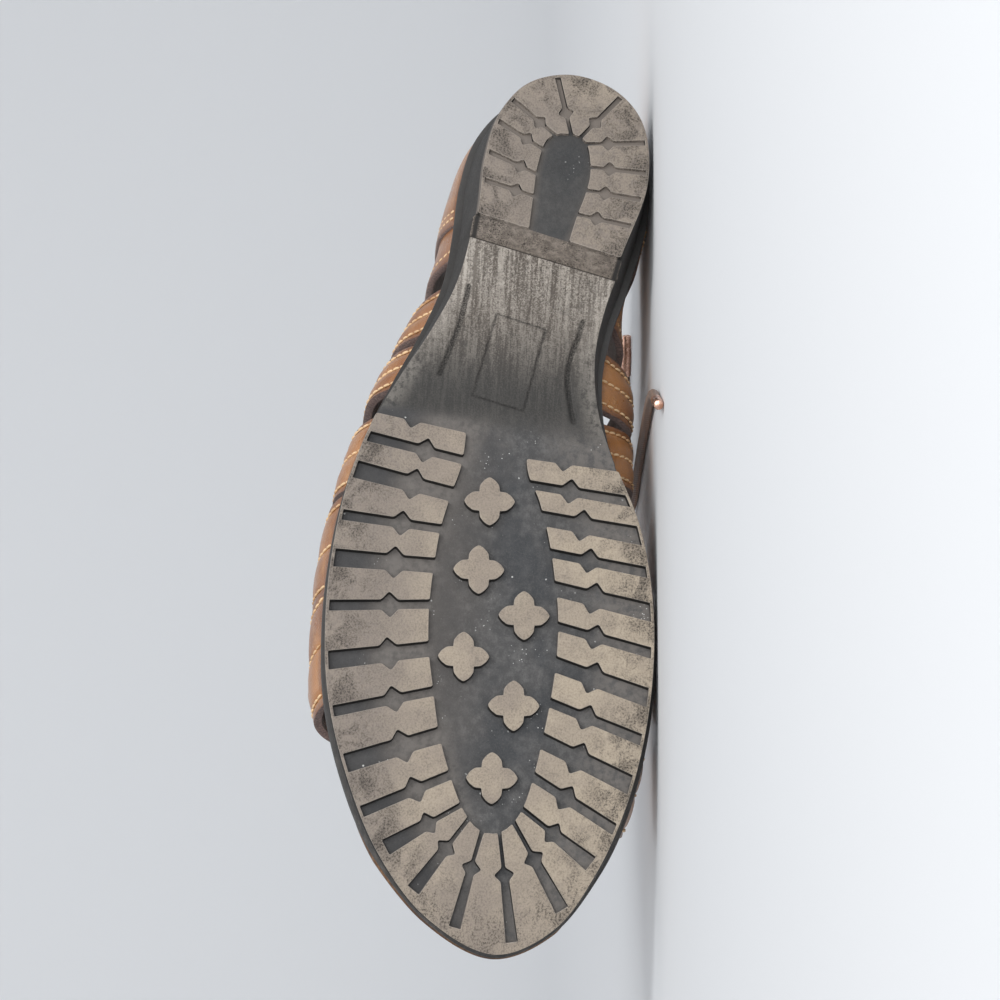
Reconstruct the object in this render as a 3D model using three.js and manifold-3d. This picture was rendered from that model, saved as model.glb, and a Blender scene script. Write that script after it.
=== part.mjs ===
// Left lace-up gladiator sandal with a lugged rubber sole, empty, lying on its inner side.
// It is built standing: X from heel to toe, Y towards the outer (lateral) side, Z up from the tread,
// all in millimetres. Then it is laid on the face of its own hull that lies under its weight.
import * as THREE from "three";
import { ConvexHull } from "three/addons/math/ConvexHull.js";
import { mergeVertices } from "three/addons/utils/BufferGeometryUtils.js";
import Module from "manifold-3d";

const wasm = await Module();
wasm.setup();

// Driving dimensions
const treadLength = 272;
const ballWidth = 96;
const heelHeight = 30;
const instepHeight = 121;
const toeSpring = 14;
const springStart = 186;
const springPower = 1.7;
const bendStart = 230;
const bendLength = 32;
const lugDepth = 2;
const leather = 2.4;
const pieceGap = 0.3;
const laceWidth = 3;
// Where the back of the heel comes to lie along X
const heelPlace = 140.245;

// The outline of the tread and the height of the sole, a row for each station from heel to toe.
// x and y are parts of the tread length and the ball width. floor is the bottom between the lugs and
// top the bed under the foot, both as parts of the heel height.
const soleRows = [
  { outX: 0, outY: -0.016, inX: 0, inY: -0.016, floor: 0.07, top: 1 },
  { outX: 0.015, outY: 0.12, inX: 0.015, inY: -0.161, floor: 0.07, top: 1 },
  { outX: 0.055, outY: 0.203, inX: 0.051, inY: -0.25, floor: 0.07, top: 1 },
  { outX: 0.11, outY: 0.238, inX: 0.121, inY: -0.278, floor: 0.07, top: 0.99 },
  { outX: 0.176, outY: 0.246, inX: 0.213, inY: -0.21, floor: 0.07, top: 0.95 },
  { outX: 0.239, outY: 0.279, inX: 0.265, inY: -0.173, floor: 0.41, top: 0.88 },
  { outX: 0.305, outY: 0.351, inX: 0.324, inY: -0.154, floor: 0.32, top: 0.78 },
  { outX: 0.368, outY: 0.44, inX: 0.39, inY: -0.175, floor: 0.19, top: 0.65 },
  { outX: 0.423, outY: 0.508, inX: 0.456, inY: -0.238, floor: 0.07, top: 0.55 },
  { outX: 0.5, outY: 0.573, inX: 0.522, inY: -0.323, floor: 0.07, top: 0.49 },
  { outX: 0.581, outY: 0.604, inX: 0.588, inY: -0.371, floor: 0.07, top: 0.46 },
  { outX: 0.662, outY: 0.607, inX: 0.662, inY: -0.394, floor: 0.07, top: 0.45 },
  { outX: 0.746, outY: 0.579, inX: 0.746, inY: -0.388, floor: 0.07, top: 0.45 },
  { outX: 0.831, outY: 0.5, inX: 0.831, inY: -0.348, floor: 0.07, top: 0.44 },
  { outX: 0.908, outY: 0.385, inX: 0.908, inY: -0.271, floor: 0.07, top: 0.41 },
  { outX: 0.969, outY: 0.224, inX: 0.969, inY: -0.161, floor: 0.07, top: 0.38 },
  { outX: 1, outY: 0.01, inX: 1, inY: 0.01, floor: 0.07, top: 0.37 },
];

// The side wall of the sole at the same stations: how far it leans out from the tread to the crease on
// the outer and inner side, and how far the band above the crease stands out, in millimetres.
const wallRows = [
  { outFlare: 3, inFlare: 2.6, rim: 1.6 },
  { outFlare: 3.6, inFlare: 1.8, rim: 1.8 },
  { outFlare: 4.2, inFlare: 1.2, rim: 2 },
  { outFlare: 4.4, inFlare: 1, rim: 2 },
  { outFlare: 4.4, inFlare: 2.6, rim: 2.2 },
  { outFlare: 3.4, inFlare: 2.6, rim: 2 },
  { outFlare: 2.6, inFlare: 2.4, rim: 1.6 },
  { outFlare: 1.4, inFlare: 1.8, rim: 1.2 },
  { outFlare: 0.6, inFlare: 1.2, rim: 0.9 },
  { outFlare: 0.2, inFlare: 0.9, rim: 0.9 },
  { outFlare: 0.1, inFlare: 0.9, rim: 0.9 },
  { outFlare: 0.1, inFlare: 0.9, rim: 0.9 },
  { outFlare: 0.1, inFlare: 0.9, rim: 0.9 },
  { outFlare: 0.1, inFlare: 0.9, rim: 0.8 },
  { outFlare: 0.1, inFlare: 0.8, rim: 0.7 },
  { outFlare: 0.4, inFlare: 0.8, rim: 0.6 },
  { outFlare: 0.8, inFlare: 0.8, rim: 0.6 },
];
const toeRow = soleRows.length - 1;
const breastRow = 4;
const breastSlope = 0.2;
const treadRow = 8;
const rimHeight = 5;
const creaseDepth = 0.8;
const creaseHeight = 1;
const rimRound = 0.7;
// Part of the flare that the wall has already taken up at the bottom, and at the top of the lugs
const bottomLean = { tread: 0.15, shank: 0.3 };
const lugLean = { forefoot: 0.3, heel: 0.12 };

// The form of the foot, a row for each station of the sole: the ridge along the top of the foot as
// parts of tread length, ball width and instep height, then how far the outer and inner sides swell
// past the rim, and how high above the bed they do, in millimetres.
const footRows = [
  { ridgeX: 0.048, ridgeY: -0.010, ridgeZ: 0.876, outSwell: 1.6, inSwell: 1.6, swellHeight: 18 },
  { ridgeX: 0.059, ridgeY: -0.005, ridgeZ: 0.926, outSwell: 1.6, inSwell: 0.2, swellHeight: 18 },
  { ridgeX: 0.088, ridgeY: 0.000, ridgeZ: 0.967, outSwell: 1.8, inSwell: -0.6, swellHeight: 18 },
  { ridgeX: 0.132, ridgeY: 0.010, ridgeZ: 0.992, outSwell: 2.4, inSwell: -0.8, swellHeight: 18 },
  { ridgeX: 0.195, ridgeY: 0.021, ridgeZ: 1.000, outSwell: 4.2, inSwell: 0.6, swellHeight: 19 },
  { ridgeX: 0.257, ridgeY: 0.036, ridgeZ: 0.992, outSwell: 6.6, inSwell: 6.0, swellHeight: 20 },
  { ridgeX: 0.320, ridgeY: 0.047, ridgeZ: 0.955, outSwell: 7.6, inSwell: 11.5, swellHeight: 20 },
  { ridgeX: 0.382, ridgeY: 0.054, ridgeZ: 0.872, outSwell: 6.8, inSwell: 11.0, swellHeight: 18 },
  { ridgeX: 0.445, ridgeY: 0.057, ridgeZ: 0.769, outSwell: 5.2, inSwell: 7.0, swellHeight: 15 },
  { ridgeX: 0.511, ridgeY: 0.050, ridgeZ: 0.661, outSwell: 3.5, inSwell: 1.4, swellHeight: 13 },
  { ridgeX: 0.581, ridgeY: 0.035, ridgeZ: 0.558, outSwell: 2.9, inSwell: 0.6, swellHeight: 13 },
  { ridgeX: 0.654, ridgeY: 0.017, ridgeZ: 0.467, outSwell: 2.6, inSwell: 0.5, swellHeight: 13 },
  { ridgeX: 0.735, ridgeY: 0.000, ridgeZ: 0.401, outSwell: 2.5, inSwell: 0.5, swellHeight: 12 },
  { ridgeX: 0.813, ridgeY: -0.010, ridgeZ: 0.364, outSwell: 2.1, inSwell: 0.5, swellHeight: 11 },
  { ridgeX: 0.875, ridgeY: -0.010, ridgeZ: 0.339, outSwell: 1.6, inSwell: 0.7, swellHeight: 10 },
  { ridgeX: 0.919, ridgeY: -0.004, ridgeZ: 0.318, outSwell: 0.8, inSwell: 0.6, swellHeight: 9 },
  { ridgeX: 0.941, ridgeY: 0.006, ridgeZ: 0.306, outSwell: 0.5, inSwell: 0.5, swellHeight: 8 },
];
const swellRise = 0.18;
const footRoundness = 2.15;
const featherInset = 0.6;

// Grooves across the forefoot, a row for each pair: where they leave the outer and inner edge and
// where they reach the recess, in millimetres from the heel, and how wide they are.
const sideGrooves = [
  { outEdge: 122.3, outEnd: 127.2, inEdge: 134.7, inEnd: 133.1, width: 3.5 },
  { outEdge: 133.0, outEnd: 138.2, inEdge: 145.3, inEnd: 143.2, width: 5.6 },
  { outEdge: 147.6, outEnd: 149.3, inEdge: 156.5, inEnd: 153.7, width: 3.5 },
  { outEdge: 161.1, outEnd: 160.8, inEdge: 168.8, inEnd: 164.6, width: 5.6 },
  { outEdge: 175.9, outEnd: 172.8, inEdge: 181.3, inEnd: 176.0, width: 3.5 },
  { outEdge: 192.6, outEnd: 186.5, inEdge: 194.9, inEnd: 187.7, width: 5.6 },
  { outEdge: 207.6, outEnd: 198.9, inEdge: 207.6, inEnd: 199.2, width: 3.5 },
  { outEdge: 222.4, outEnd: 211.6, inEdge: 221.0, inEnd: 210.6, width: 5.6 },
  { outEdge: 235.8, outEnd: 222.9, inEdge: 234.2, inEnd: 221.4, width: 3.5 },
];
const edgeRim = 1.2;
const toeRim = 2.4;
const toeFan = { x: 225, y: 5.5, inner: 10, grooves: 6, firstAngle: 56, step: -22.6, width: 3.4 };
const diamond = { at: 0.6, reach: 2.8, spread: 2.2, edgeTaper: 1.1, innerTaper: 0.9, overrun: 1 };

// The sunk oval along the middle of the forefoot, a row for each station.
const recessRows = [
  { x: 108.0, out: 22.0, in: 3.0 },
  { x: 127.0, out: 22.5, in: 3.0 },
  { x: 138.0, out: 25.0, in: -1.5 },
  { x: 149.0, out: 27.3, in: -5.0 },
  { x: 161.0, out: 28.4, in: -7.6 },
  { x: 173.0, out: 28.8, in: -9.5 },
  { x: 185.8, out: 28.0, in: -9.9 },
  { x: 198.2, out: 25.7, in: -9.1 },
  { x: 210.6, out: 23.0, in: -7.6 },
  { x: 222.0, out: 19.0, in: -5.8 },
  { x: 231.4, out: 14.6, in: -3.2 },
  { x: 236.6, out: 10.6, in: 0.4 },
  { x: 238.6, out: 7.0, in: 4.0 },
];

// Four-petalled studs standing in the recess.
const studs = [
  { x: 139.4, y: 13.4 },
  { x: 160.8, y: 15.0 },
  { x: 173.6, y: 0.7 },
  { x: 187.7, y: 17.4 },
  { x: 201.0, y: 1.7 },
  { x: 222.6, y: 6.3 },
];
const petal = { reach: 7.4, notch: 4, shoulder: 6.1, shoulderAngle: 20, turn: -4 };

// Grooves of the heel, a row for each, from the edge in to the heel's own recess.
const heelGrooves = [
  { edgeX: 1.5, edgeY: 2.7, endX: 19.9, endY: -2.7 },
  { edgeX: 6.5, edgeY: -16.2, endX: 20.5, endY: -5.2 },
  { edgeX: 10.0, edgeY: 15.8, endX: 20.8, endY: 1.5 },
  { edgeX: 17.7, edgeY: 19.2, endX: 25.5, endY: 5.2 },
  { edgeX: 28.0, edgeY: 21.2, endX: 33.9, endY: 5.9 },
  { edgeX: 37.2, edgeY: 22.0, endX: 41.0, endY: 6.8 },
  { edgeX: 20.0, edgeY: -24.6, endX: 22.2, endY: -6.8 },
  { edgeX: 29.8, edgeY: -25.4, endX: 29.6, endY: -8.0 },
  { edgeX: 38.6, edgeY: -24.2, endX: 37.2, endY: -7.4 },
  { edgeX: 47.5, edgeY: -21.4, endX: 45.4, endY: -5.8 },
];
const heelGrooveWidth = 2.4;
const heelRecessRows = [
  { x: 19.2, out: 0.5, in: -4.0 },
  { x: 22.2, out: 5.0, in: -7.8 },
  { x: 31.0, out: 7.1, in: -9.5 },
  { x: 39.0, out: 7.6, in: -8.4 },
  { x: 47.0, out: 8.0, in: -6.2 },
  { x: 60.0, out: 8.6, in: -3.4 },
];

// Side straps, a row for each: middle and width at the sole and under the eyestay, in millimetres.
const sideStraps = [
  { side: 1, footX: 72, footWidth: 18, topX: 97, topWidth: 15 },
  { side: 1, footX: 92, footWidth: 18, topX: 115, topWidth: 15 },
  { side: 1, footX: 121, footWidth: 26, topX: 136, topWidth: 19 },
  { side: -1, footX: 89, footWidth: 21, topX: 100, topWidth: 15 },
  { side: -1, footX: 115, footWidth: 21, topX: 119, topWidth: 16 },
  { side: -1, footX: 145, footWidth: 29, topX: 139, topWidth: 19 },
];

// Bands over the forefoot, a row for each, from the inner edge up over the foot to the outer edge.
const vampBands = [
  { inX: 182, inWidth: 32, outX: 152, outWidth: 32, topWidth: 25, topX: 166 },
  { inX: 220, inWidth: 27, outX: 183, outWidth: 36, topWidth: 25, topX: 203 },
];

// Counter, heel panel, collar bands and eyestays
const counterEdge = { outX: 53, inX: 68, lean: 0.5, drop: 0 };
const collarHeight = { back: 62, side: 52 };
const panelEdge = { outX: 41, inX: 43, lean: 0, drop: 5 };
const collarBand = { startX: 46, startHeight: 45, width: 13 };
const eyestay = { frontX: 153, backX: 92, rise: 0.8, width: 15 };
const laceHoles = { count: 4, frontX: 146, backX: 99, radius: 2.4, sides: 12, from: -4, to: 8 };
// Heights of the inner and outer face of each sheet over the skin, and its steps along and across
const layers = {
  counter: { inner: -0.2, outer: leather - 0.2, steps: 18, across: 5 },
  panel: { inner: 1, outer: leather + 1, steps: 14, across: 5 },
  strap: { inner: 0, outer: leather, steps: 8, across: 3 },
  band: { inner: 0.3, outer: leather + 0.3, steps: 18, across: 3 },
  collar: { inner: 0.9, outer: leather + 0.9, steps: 8, across: 2 },
  eyestay: { inner: 1.3, outer: leather + 1.3, steps: 12, across: 2 },
};

// Footbed
const insoleThickness = 3.6;
const insoleRows = [
  { row: 0, outInset: 4, inInset: 4 },
  { row: 12, outInset: 4, inInset: 4 },
  { row: 13, outInset: 1.2, inInset: 4 },
  { row: 14, outInset: -0.4, inInset: 2 },
  { row: 15, outInset: -0.6, inInset: -0.6 },
  { row: 16, outInset: -0.6, inInset: -0.6 },
];

// Bow of the lace, in the frame of the lying shoe: X towards the heel, Y away from the sole, Z up.
// The knot sits on the last bar. Loops and ends start and stop at its skin, and end a passes under the
// arch to come out below the shank.
const knot = { place: [26, 60.2, 45.6], radii: [4.9, 4.8, 4.9] };
const loopRoutes = {
  lace_loop_a: [[22.2, 64.2, 43.6], [17, 67, 36], [10, 68, 22], [4, 68, 9], [0, 70, 2.6], [-5, 75, 1.6],
    [-3, 81, 1.6], [4, 81, 3], [11, 77, 12], [16.5, 72, 26], [21, 67, 37], [23.3, 65, 41.2]],
  lace_loop_b: [[31, 62.2, 47.4], [37, 66, 46], [45, 69, 35], [50, 70, 19], [53, 71, 7], [56, 74, 1.8],
    [60, 79, 1.6], [57, 84, 1.6], [50, 82, 3.2], [46, 77, 13], [41, 72, 28], [35, 67, 39.5],
    [31, 63.6, 43.6]],
};
const endRoutes = {
  lace_end_a: [[26.4, 61.6, 40.6], [28, 64, 31], [29.5, 65, 18], [30.5, 64, 8], [31, 59, 2.8],
    [31, 50, 1.7], [31, 25, 1.6], [31, 0, 1.6], [30.5, -25, 1.6], [29, -50, 1.6], [25, -68, 1.6],
    [18, -82, 1.6]],
  lace_end_b: [[26.2, 66.2, 45.8], [27, 70.5, 43], [28.5, 74, 31], [31, 76, 15], [34, 79, 4.4],
    [40, 85, 1.9], [50, 93, 1.7], [63, 97, 1.7], [77, 94, 1.7], [88, 86, 1.7]],
};
const cordStep = 7;
const knotSides = 10;
const tip = { length: 14, width: 3.2 };

// Densities for the balance of the lying shoe, in grams per cubic millimetre
const density = { rubber: 0.0011, leather: 0.0009 };
const settleRounds = 8;

// Points nearer than this are one point, and searches stop at this step.
const closeness = 1e-4;

// Solids from points and triangles
function solidOf(geometry) {
  const bare = geometry.clone();
  bare.deleteAttribute("normal");
  bare.deleteAttribute("uv");
  const merged = mergeVertices(bare, closeness);
  const index = merged.index.array;
  const kept = [];
  for (let i = 0; i < index.length; i += 3) {
    const [a, b, c] = [index[i], index[i + 1], index[i + 2]];
    if (a !== b && b !== c && c !== a) kept.push(a, b, c);
  }
  const points = merged.attributes.position.array;
  if (weigh(points, kept).volume < 0) kept.reverse();
  const mesh = new wasm.Mesh({ numProp: 3, vertProperties: points, triVerts: Uint32Array.from(kept) });
  return new wasm.Manifold(mesh);
}

function solidFrom(points, triangles) {
  const geometry = new THREE.BufferGeometry();
  const flat = points.flatMap((point) => point.toArray());
  geometry.setAttribute("position", new THREE.Float32BufferAttribute(flat, 3));
  geometry.setIndex(triangles.flat());
  return solidOf(geometry);
}

function geometryOf(solid) {
  const mesh = solid.getMesh();
  const geometry = new THREE.BufferGeometry();
  geometry.setAttribute("position", new THREE.BufferAttribute(mesh.vertProperties, 3));
  geometry.setIndex(new THREE.BufferAttribute(mesh.triVerts, 1));
  return geometry;
}

// Volume and centre of a closed mesh, from the tetrahedra that its triangles make with the origin.
function weigh(points, index) {
  const corner = (k) => new THREE.Vector3().fromArray(points, index[k] * 3);
  const centre = new THREE.Vector3();
  let volume = 0;
  for (let i = 0; i < index.length; i += 3) {
    const [a, b, c] = [corner(i), corner(i + 1), corner(i + 2)];
    const part = a.dot(b.clone().cross(c)) / 6;
    volume += part;
    centre.addScaledVector(a.add(b).add(c), part / 4);
  }
  return { volume, centre: centre.divideScalar(volume) };
}

// A smooth value of one column between the rows of a table
function along(table, column, row) {
  const i = THREE.MathUtils.clamp(Math.floor(row), 0, table.length - 2);
  const at = (k) => table[THREE.MathUtils.clamp(k, 0, table.length - 1)][column];
  const [a, b, c, d] = [at(i - 1), at(i), at(i + 1), at(i + 2)];
  const t = row - i;
  const tangentB = (c - a) / 2;
  const tangentC = (d - b) / 2;
  const cubic = 2 * (b - c) + tangentB + tangentC;
  const square = 3 * (c - b) - 2 * tangentB - tangentC;
  return ((cubic * t + square) * t + tangentB) * t + b;
}

// Plan of the sole: side is 1 for the outer edge and -1 for the inner one.
const edgePoint = (row, x, y) => new THREE.Vector3(row[x] * treadLength, row[y] * ballWidth, 0);
const outline = new THREE.CatmullRomCurve3([
  ...soleRows.map((row) => edgePoint(row, "outX", "outY")),
  ...soleRows.slice(1, -1).reverse().map((row) => edgePoint(row, "inX", "inY")),
], true, "centripetal");

function edge(side, row, out = 0) {
  const t = (1 + (side * row) / (2 * toeRow)) % 1;
  const point = outline.getPoint(t);
  const tangent = outline.getTangent(t);
  return new THREE.Vector2(point.x - tangent.y * out, point.y + tangent.x * out);
}

function rowAt(side, x) {
  let [low, high] = [0, toeRow];
  while (high - low > closeness) {
    const middle = (low + high) / 2;
    if (edge(side, middle).x < x) low = middle;
    else high = middle;
  }
  return low;
}

function spring(x) {
  const part = Math.max(0, (x - springStart) / (treadLength - springStart));
  return toeSpring * part ** springPower;
}
// Past the straps the edge of the sole leans back, so that it stays square to the sprung tread.
function bend(x) {
  const slope = (spring(x + closeness) - spring(x - closeness)) / (2 * closeness);
  return slope * THREE.MathUtils.smoothstep(x, bendStart, bendStart + bendLength);
}
const flare = (side, row) => along(wallRows, side > 0 ? "outFlare" : "inFlare", row);
const rimOut = (side, row) => flare(side, row) + along(wallRows, "rim", row);
const bedHeight = (row) => along(soleRows, "top", row) * heelHeight;

// Bottom between the lugs: level under the heel, up the sloping breast, down the shank, level again.
function floorHeight(row) {
  const level = soleRows[0].floor * heelHeight;
  if (row <= breastRow) return level;
  const shank = Math.max(level, along(soleRows, "floor", Math.max(row, breastRow + 1)) * heelHeight);
  return THREE.MathUtils.lerp(level, shank, Math.min(1, (row - breastRow) / breastSlope));
}

// A pile of rings with flat ends. Each ring runs heel to toe on the inner side and back on the outer.
function ring(stations, out, height) {
  const place = (side, row) => {
    const point = edge(side, row, out(side, row));
    const back = bend(point.x) * height(row);
    return new THREE.Vector3(point.x - back, point.y, height(row) + spring(point.x));
  };
  const inner = stations.map((row) => place(-1, row));
  const outer = stations.slice(0, -1).reverse().map((row) => place(1, row));
  return [...inner, ...outer];
}

function pile(rings) {
  const count = rings[0].length;
  const last = (count - 1) / 2;
  const top = (rings.length - 1) * count;
  const triangles = [];
  for (let k = 0; k < rings.length - 1; k += 1) {
    for (let i = 0; i < count; i += 1) {
      const [a, b] = [k * count + i, k * count + ((i + 1) % count)];
      triangles.push([a, b, b + count], [a, b + count, a + count]);
    }
  }
  for (let j = 0; j < last; j += 1) {
    const [a, b, c, d] = [j, j + 1, 2 * last - j - 1, 2 * last - j];
    triangles.push([a, c, b], [a, d, c]);
    triangles.push([top + a, top + b, top + c], [top + a, top + c, top + d]);
  }
  return solidFrom(rings.flat(), triangles);
}

// Steps between the rows of a table, for the body, the insole and the search for the toe's edge
const soleStep = 1 / 3;
const insoleStep = 0.5;
const searchStep = 0.1;
function stationsBetween(first, final, step) {
  const count = Math.round((final - first) / step);
  return Array.from({ length: count + 1 }, (_, i) => first + ((final - first) * i) / count);
}

// A short upright prism over a plan outline, following the spring of the toe.
function prism(plan, bottom, top) {
  const lift = (point, height) => new THREE.Vector3(point.x, point.y, height + spring(point.x));
  const lower = plan.map((point) => lift(point, bottom));
  const upper = plan.map((point) => lift(point, top));
  const faces = THREE.ShapeUtils.triangulateShape(plan, []);
  const count = plan.length;
  const triangles = faces.flatMap(([a, b, c]) => [[a, c, b], [a + count, b + count, c + count]]);
  for (let i = 0; i < count; i += 1) {
    const next = (i + 1) % count;
    triangles.push([i, next, next + count], [i, next + count, i + count]);
  }
  return solidFrom([...lower, ...upper], triangles);
}

const cutPast = 2;
const cutBelow = -cutPast;
const cutAbove = lugDepth + cutPast;

// A groove from an edge point to an end point, with a diamond part of the way in.
function groove(from, to, width) {
  const run = to.clone().sub(from);
  const length = run.length();
  const ahead = run.clone().normalize();
  const across = new THREE.Vector2(-ahead.y, ahead.x);
  const half = width / 2;
  const middle = length * diamond.at;
  const profile = [
    { run: 0, half: half * diamond.edgeTaper },
    { run: middle - diamond.reach, half },
    { run: middle, half: half + diamond.spread },
    { run: middle + diamond.reach, half: half * diamond.innerTaper },
    { run: length + diamond.overrun, half: half * diamond.innerTaper },
  ];
  const place = (step, sign) => from.clone()
    .addScaledVector(ahead, step.run)
    .addScaledVector(across, sign * step.half);
  const right = profile.map((step) => place(step, -1));
  const left = profile.map((step) => place(step, 1)).reverse();
  return prism([...right, ...left], cutBelow, cutAbove);
}

function recess(rows) {
  const steps = stationsBetween(0, rows.length - 1, insoleStep);
  const place = (column, step, height) => {
    const x = along(rows, "x", step);
    return new THREE.Vector3(x, along(rows, column, step), height + spring(x));
  };
  const level = (height) => [
    ...steps.map((step) => place("in", step, height)),
    ...steps.map((step) => place("out", step, height)).reverse(),
  ];
  const points = [level(cutBelow), level(cutAbove)];
  const count = points[0].length;
  const triangles = [];
  for (let i = 0; i < count; i += 1) {
    const next = (i + 1) % count;
    triangles.push([i, next, next + count], [i, next + count, i + count]);
  }
  for (let j = 0; j < steps.length - 1; j += 1) {
    const [a, b, c, d] = [j, j + 1, count - 2 - j, count - 1 - j];
    triangles.push([a, c, b], [a, d, c]);
    triangles.push([count + a, count + b, count + c], [count + a, count + c, count + d]);
  }
  return solidFrom(points.flat(), triangles);
}

function recessEdge(side, x) {
  const column = side > 0 ? "out" : "in";
  const next = recessRows.findIndex((row) => row.x >= x);
  const [a, b] = [recessRows[next - 1], recessRows[next]];
  return new THREE.Vector2(x, THREE.MathUtils.mapLinear(x, a.x, b.x, a[column], b[column]));
}

function stud({ x, y }) {
  const plan = [];
  for (let k = 0; k < 4; k += 1) {
    const steps = [
      { angle: 0, radius: petal.reach },
      { angle: petal.shoulderAngle, radius: petal.shoulder },
      { angle: 45, radius: petal.notch },
      { angle: 90 - petal.shoulderAngle, radius: petal.shoulder },
    ];
    for (const step of steps) {
      const angle = THREE.MathUtils.degToRad(90 * k + step.angle + petal.turn);
      const reach = new THREE.Vector2(Math.cos(angle), Math.sin(angle)).multiplyScalar(step.radius);
      plan.push(reach.add(new THREE.Vector2(x, y)));
    }
  }
  return prism(plan, 0, lugDepth + pieceGap);
}

function toeGroove(index) {
  const angle = THREE.MathUtils.degToRad(toeFan.firstAngle + toeFan.step * index);
  const ahead = new THREE.Vector2(Math.cos(angle), Math.sin(angle));
  const centre = new THREE.Vector2(toeFan.x, toeFan.y);
  const plan = stationsBetween(treadRow, toeRow, searchStep).map((row) => edge(Math.sign(angle), row));
  const bearing = (point) => Math.abs(point.clone().sub(centre).normalize().dot(ahead) - 1);
  const reached = plan.reduce((best, point) => (bearing(point) < bearing(best) ? point : best));
  const reach = reached.distanceTo(centre);
  const from = centre.clone().addScaledVector(ahead, reach - toeRim);
  const to = centre.clone().addScaledVector(ahead, toeFan.inner);
  return groove(from, to, toeFan.width);
}

// Lugs: a slab as deep as the tread, cut through by the grooves and the recess.
function forefootLugs() {
  const stations = stationsBetween(treadRow, toeRow, soleStep);
  let slab = pile([
    ring(stations, () => 0, () => 0),
    ring(stations, (side, row) => flare(side, row) * lugLean.forefoot, () => lugDepth + pieceGap),
  ]);
  slab = slab.subtract(recess(recessRows));
  for (const row of sideGrooves) {
    const starts = [[1, row.outEdge, row.outEnd], [-1, row.inEdge, row.inEnd]];
    for (const [side, edgeX, endX] of starts) {
      const from = edge(side, rowAt(side, edgeX), -edgeRim);
      slab = slab.subtract(groove(from, recessEdge(side, endX), row.width));
    }
  }
  for (let i = 0; i < toeFan.grooves; i += 1) slab = slab.subtract(toeGroove(i));
  return studs.reduce((solid, place) => solid.add(stud(place)), slab);
}

function heelLugs() {
  const stations = stationsBetween(0, breastRow, soleStep);
  let slab = pile([
    ring(stations, () => 0, () => 0),
    ring(stations, (side, row) => flare(side, row) * lugLean.heel, () => lugDepth + pieceGap),
  ]);
  slab = slab.subtract(recess(heelRecessRows));
  for (const row of heelGrooves) {
    const from = new THREE.Vector2(row.edgeX, row.edgeY);
    slab = slab.subtract(groove(from, new THREE.Vector2(row.endX, row.endY), heelGrooveWidth));
  }
  return slab;
}

function outsole() {
  const stations = stationsBetween(0, toeRow, soleStep);
  stations.splice(stations.findIndex((row) => row > breastRow), 0, breastRow + breastSlope);
  const crease = (row) => bedHeight(row) - rimHeight;
  const arched = (row) => row > breastRow && row < treadRow;
  const lean = (side, row) => flare(side, row) * (arched(row) ? bottomLean.shank : bottomLean.tread);
  const body = pile([
    ring(stations, lean, floorHeight),
    ring(stations, flare, crease),
    ring(stations, (side, row) => flare(side, row) - creaseDepth, (row) => crease(row) + creaseHeight / 2),
    ring(stations, rimOut, (row) => crease(row) + creaseHeight),
    ring(stations, rimOut, (row) => bedHeight(row) - rimRound),
    ring(stations, (side, row) => rimOut(side, row) - rimRound, bedHeight),
  ]);
  return body.add(forefootLugs()).add(heelLugs());
}

function insole() {
  const stations = stationsBetween(0, toeRow, insoleStep);
  const out = (side, row) => {
    const next = Math.max(1, insoleRows.findIndex((entry) => entry.row >= row));
    const [a, b] = [insoleRows[next - 1], insoleRows[next]];
    const column = side > 0 ? "outInset" : "inInset";
    return rimOut(side, row) - THREE.MathUtils.mapLinear(row, a.row, b.row, a[column], b[column]);
  };
  const rounded = (side, row) => out(side, row) - rimRound;
  const base = (row) => bedHeight(row) + pieceGap;
  return pile([
    ring(stations, out, base),
    ring(stations, out, (row) => base(row) + insoleThickness - rimRound),
    ring(stations, rounded, (row) => base(row) + insoleThickness),
  ]);
}

// Skin of the foot. around counts stations from the heel's back, positive on the outer side and
// negative on the inner one. rise goes from 0 at the sole to 1 on the ridge and on to 2 at the sole
// of the other side.
function skin(around, rise) {
  if (rise > 1) return skin(-around, 2 - rise);
  const side = Math.sign(around) || 1;
  const row = Math.abs(around);
  const swell = along(footRows, side > 0 ? "outSwell" : "inSwell", row);
  const foot = edge(side, row, rimOut(side, row) - featherInset - leather);
  const widest = edge(side, row, rimOut(side, row) + swell - leather);
  const footZ = bedHeight(row) + spring(foot.x) + pieceGap;
  const widestZ = footZ + along(footRows, "swellHeight", row);
  if (rise < swellRise) {
    const part = rise / swellRise;
    const plan = foot.lerp(widest, Math.sin((part * Math.PI) / 2));
    return new THREE.Vector3(plan.x, plan.y, THREE.MathUtils.lerp(footZ, widestZ, part));
  }
  const angle = ((rise - swellRise) / (1 - swellRise)) * (Math.PI / 2);
  const inward = Math.max(0, Math.cos(angle)) ** (2 / footRoundness);
  const upward = Math.max(0, Math.sin(angle)) ** (2 / footRoundness);
  const ridgeX = along(footRows, "ridgeX", row) * treadLength;
  const ridgeY = along(footRows, "ridgeY", row) * ballWidth;
  const ridgeZ = along(footRows, "ridgeZ", row) * instepHeight;
  return new THREE.Vector3(
    THREE.MathUtils.lerp(ridgeX, widest.x, inward),
    THREE.MathUtils.lerp(ridgeY, widest.y, inward),
    THREE.MathUtils.lerp(widestZ, ridgeZ, upward),
  );
}

const nudge = 0.02;
function alongFoot(around, rise) {
  const step = skin(around + nudge, rise).sub(skin(around - nudge, rise));
  return step.divideScalar(2 * nudge);
}

function upFoot(around, rise) {
  const below = Math.min(rise, nudge);
  const step = skin(around, rise + nudge).sub(skin(around, rise - below));
  return step.divideScalar(nudge + below);
}

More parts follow.
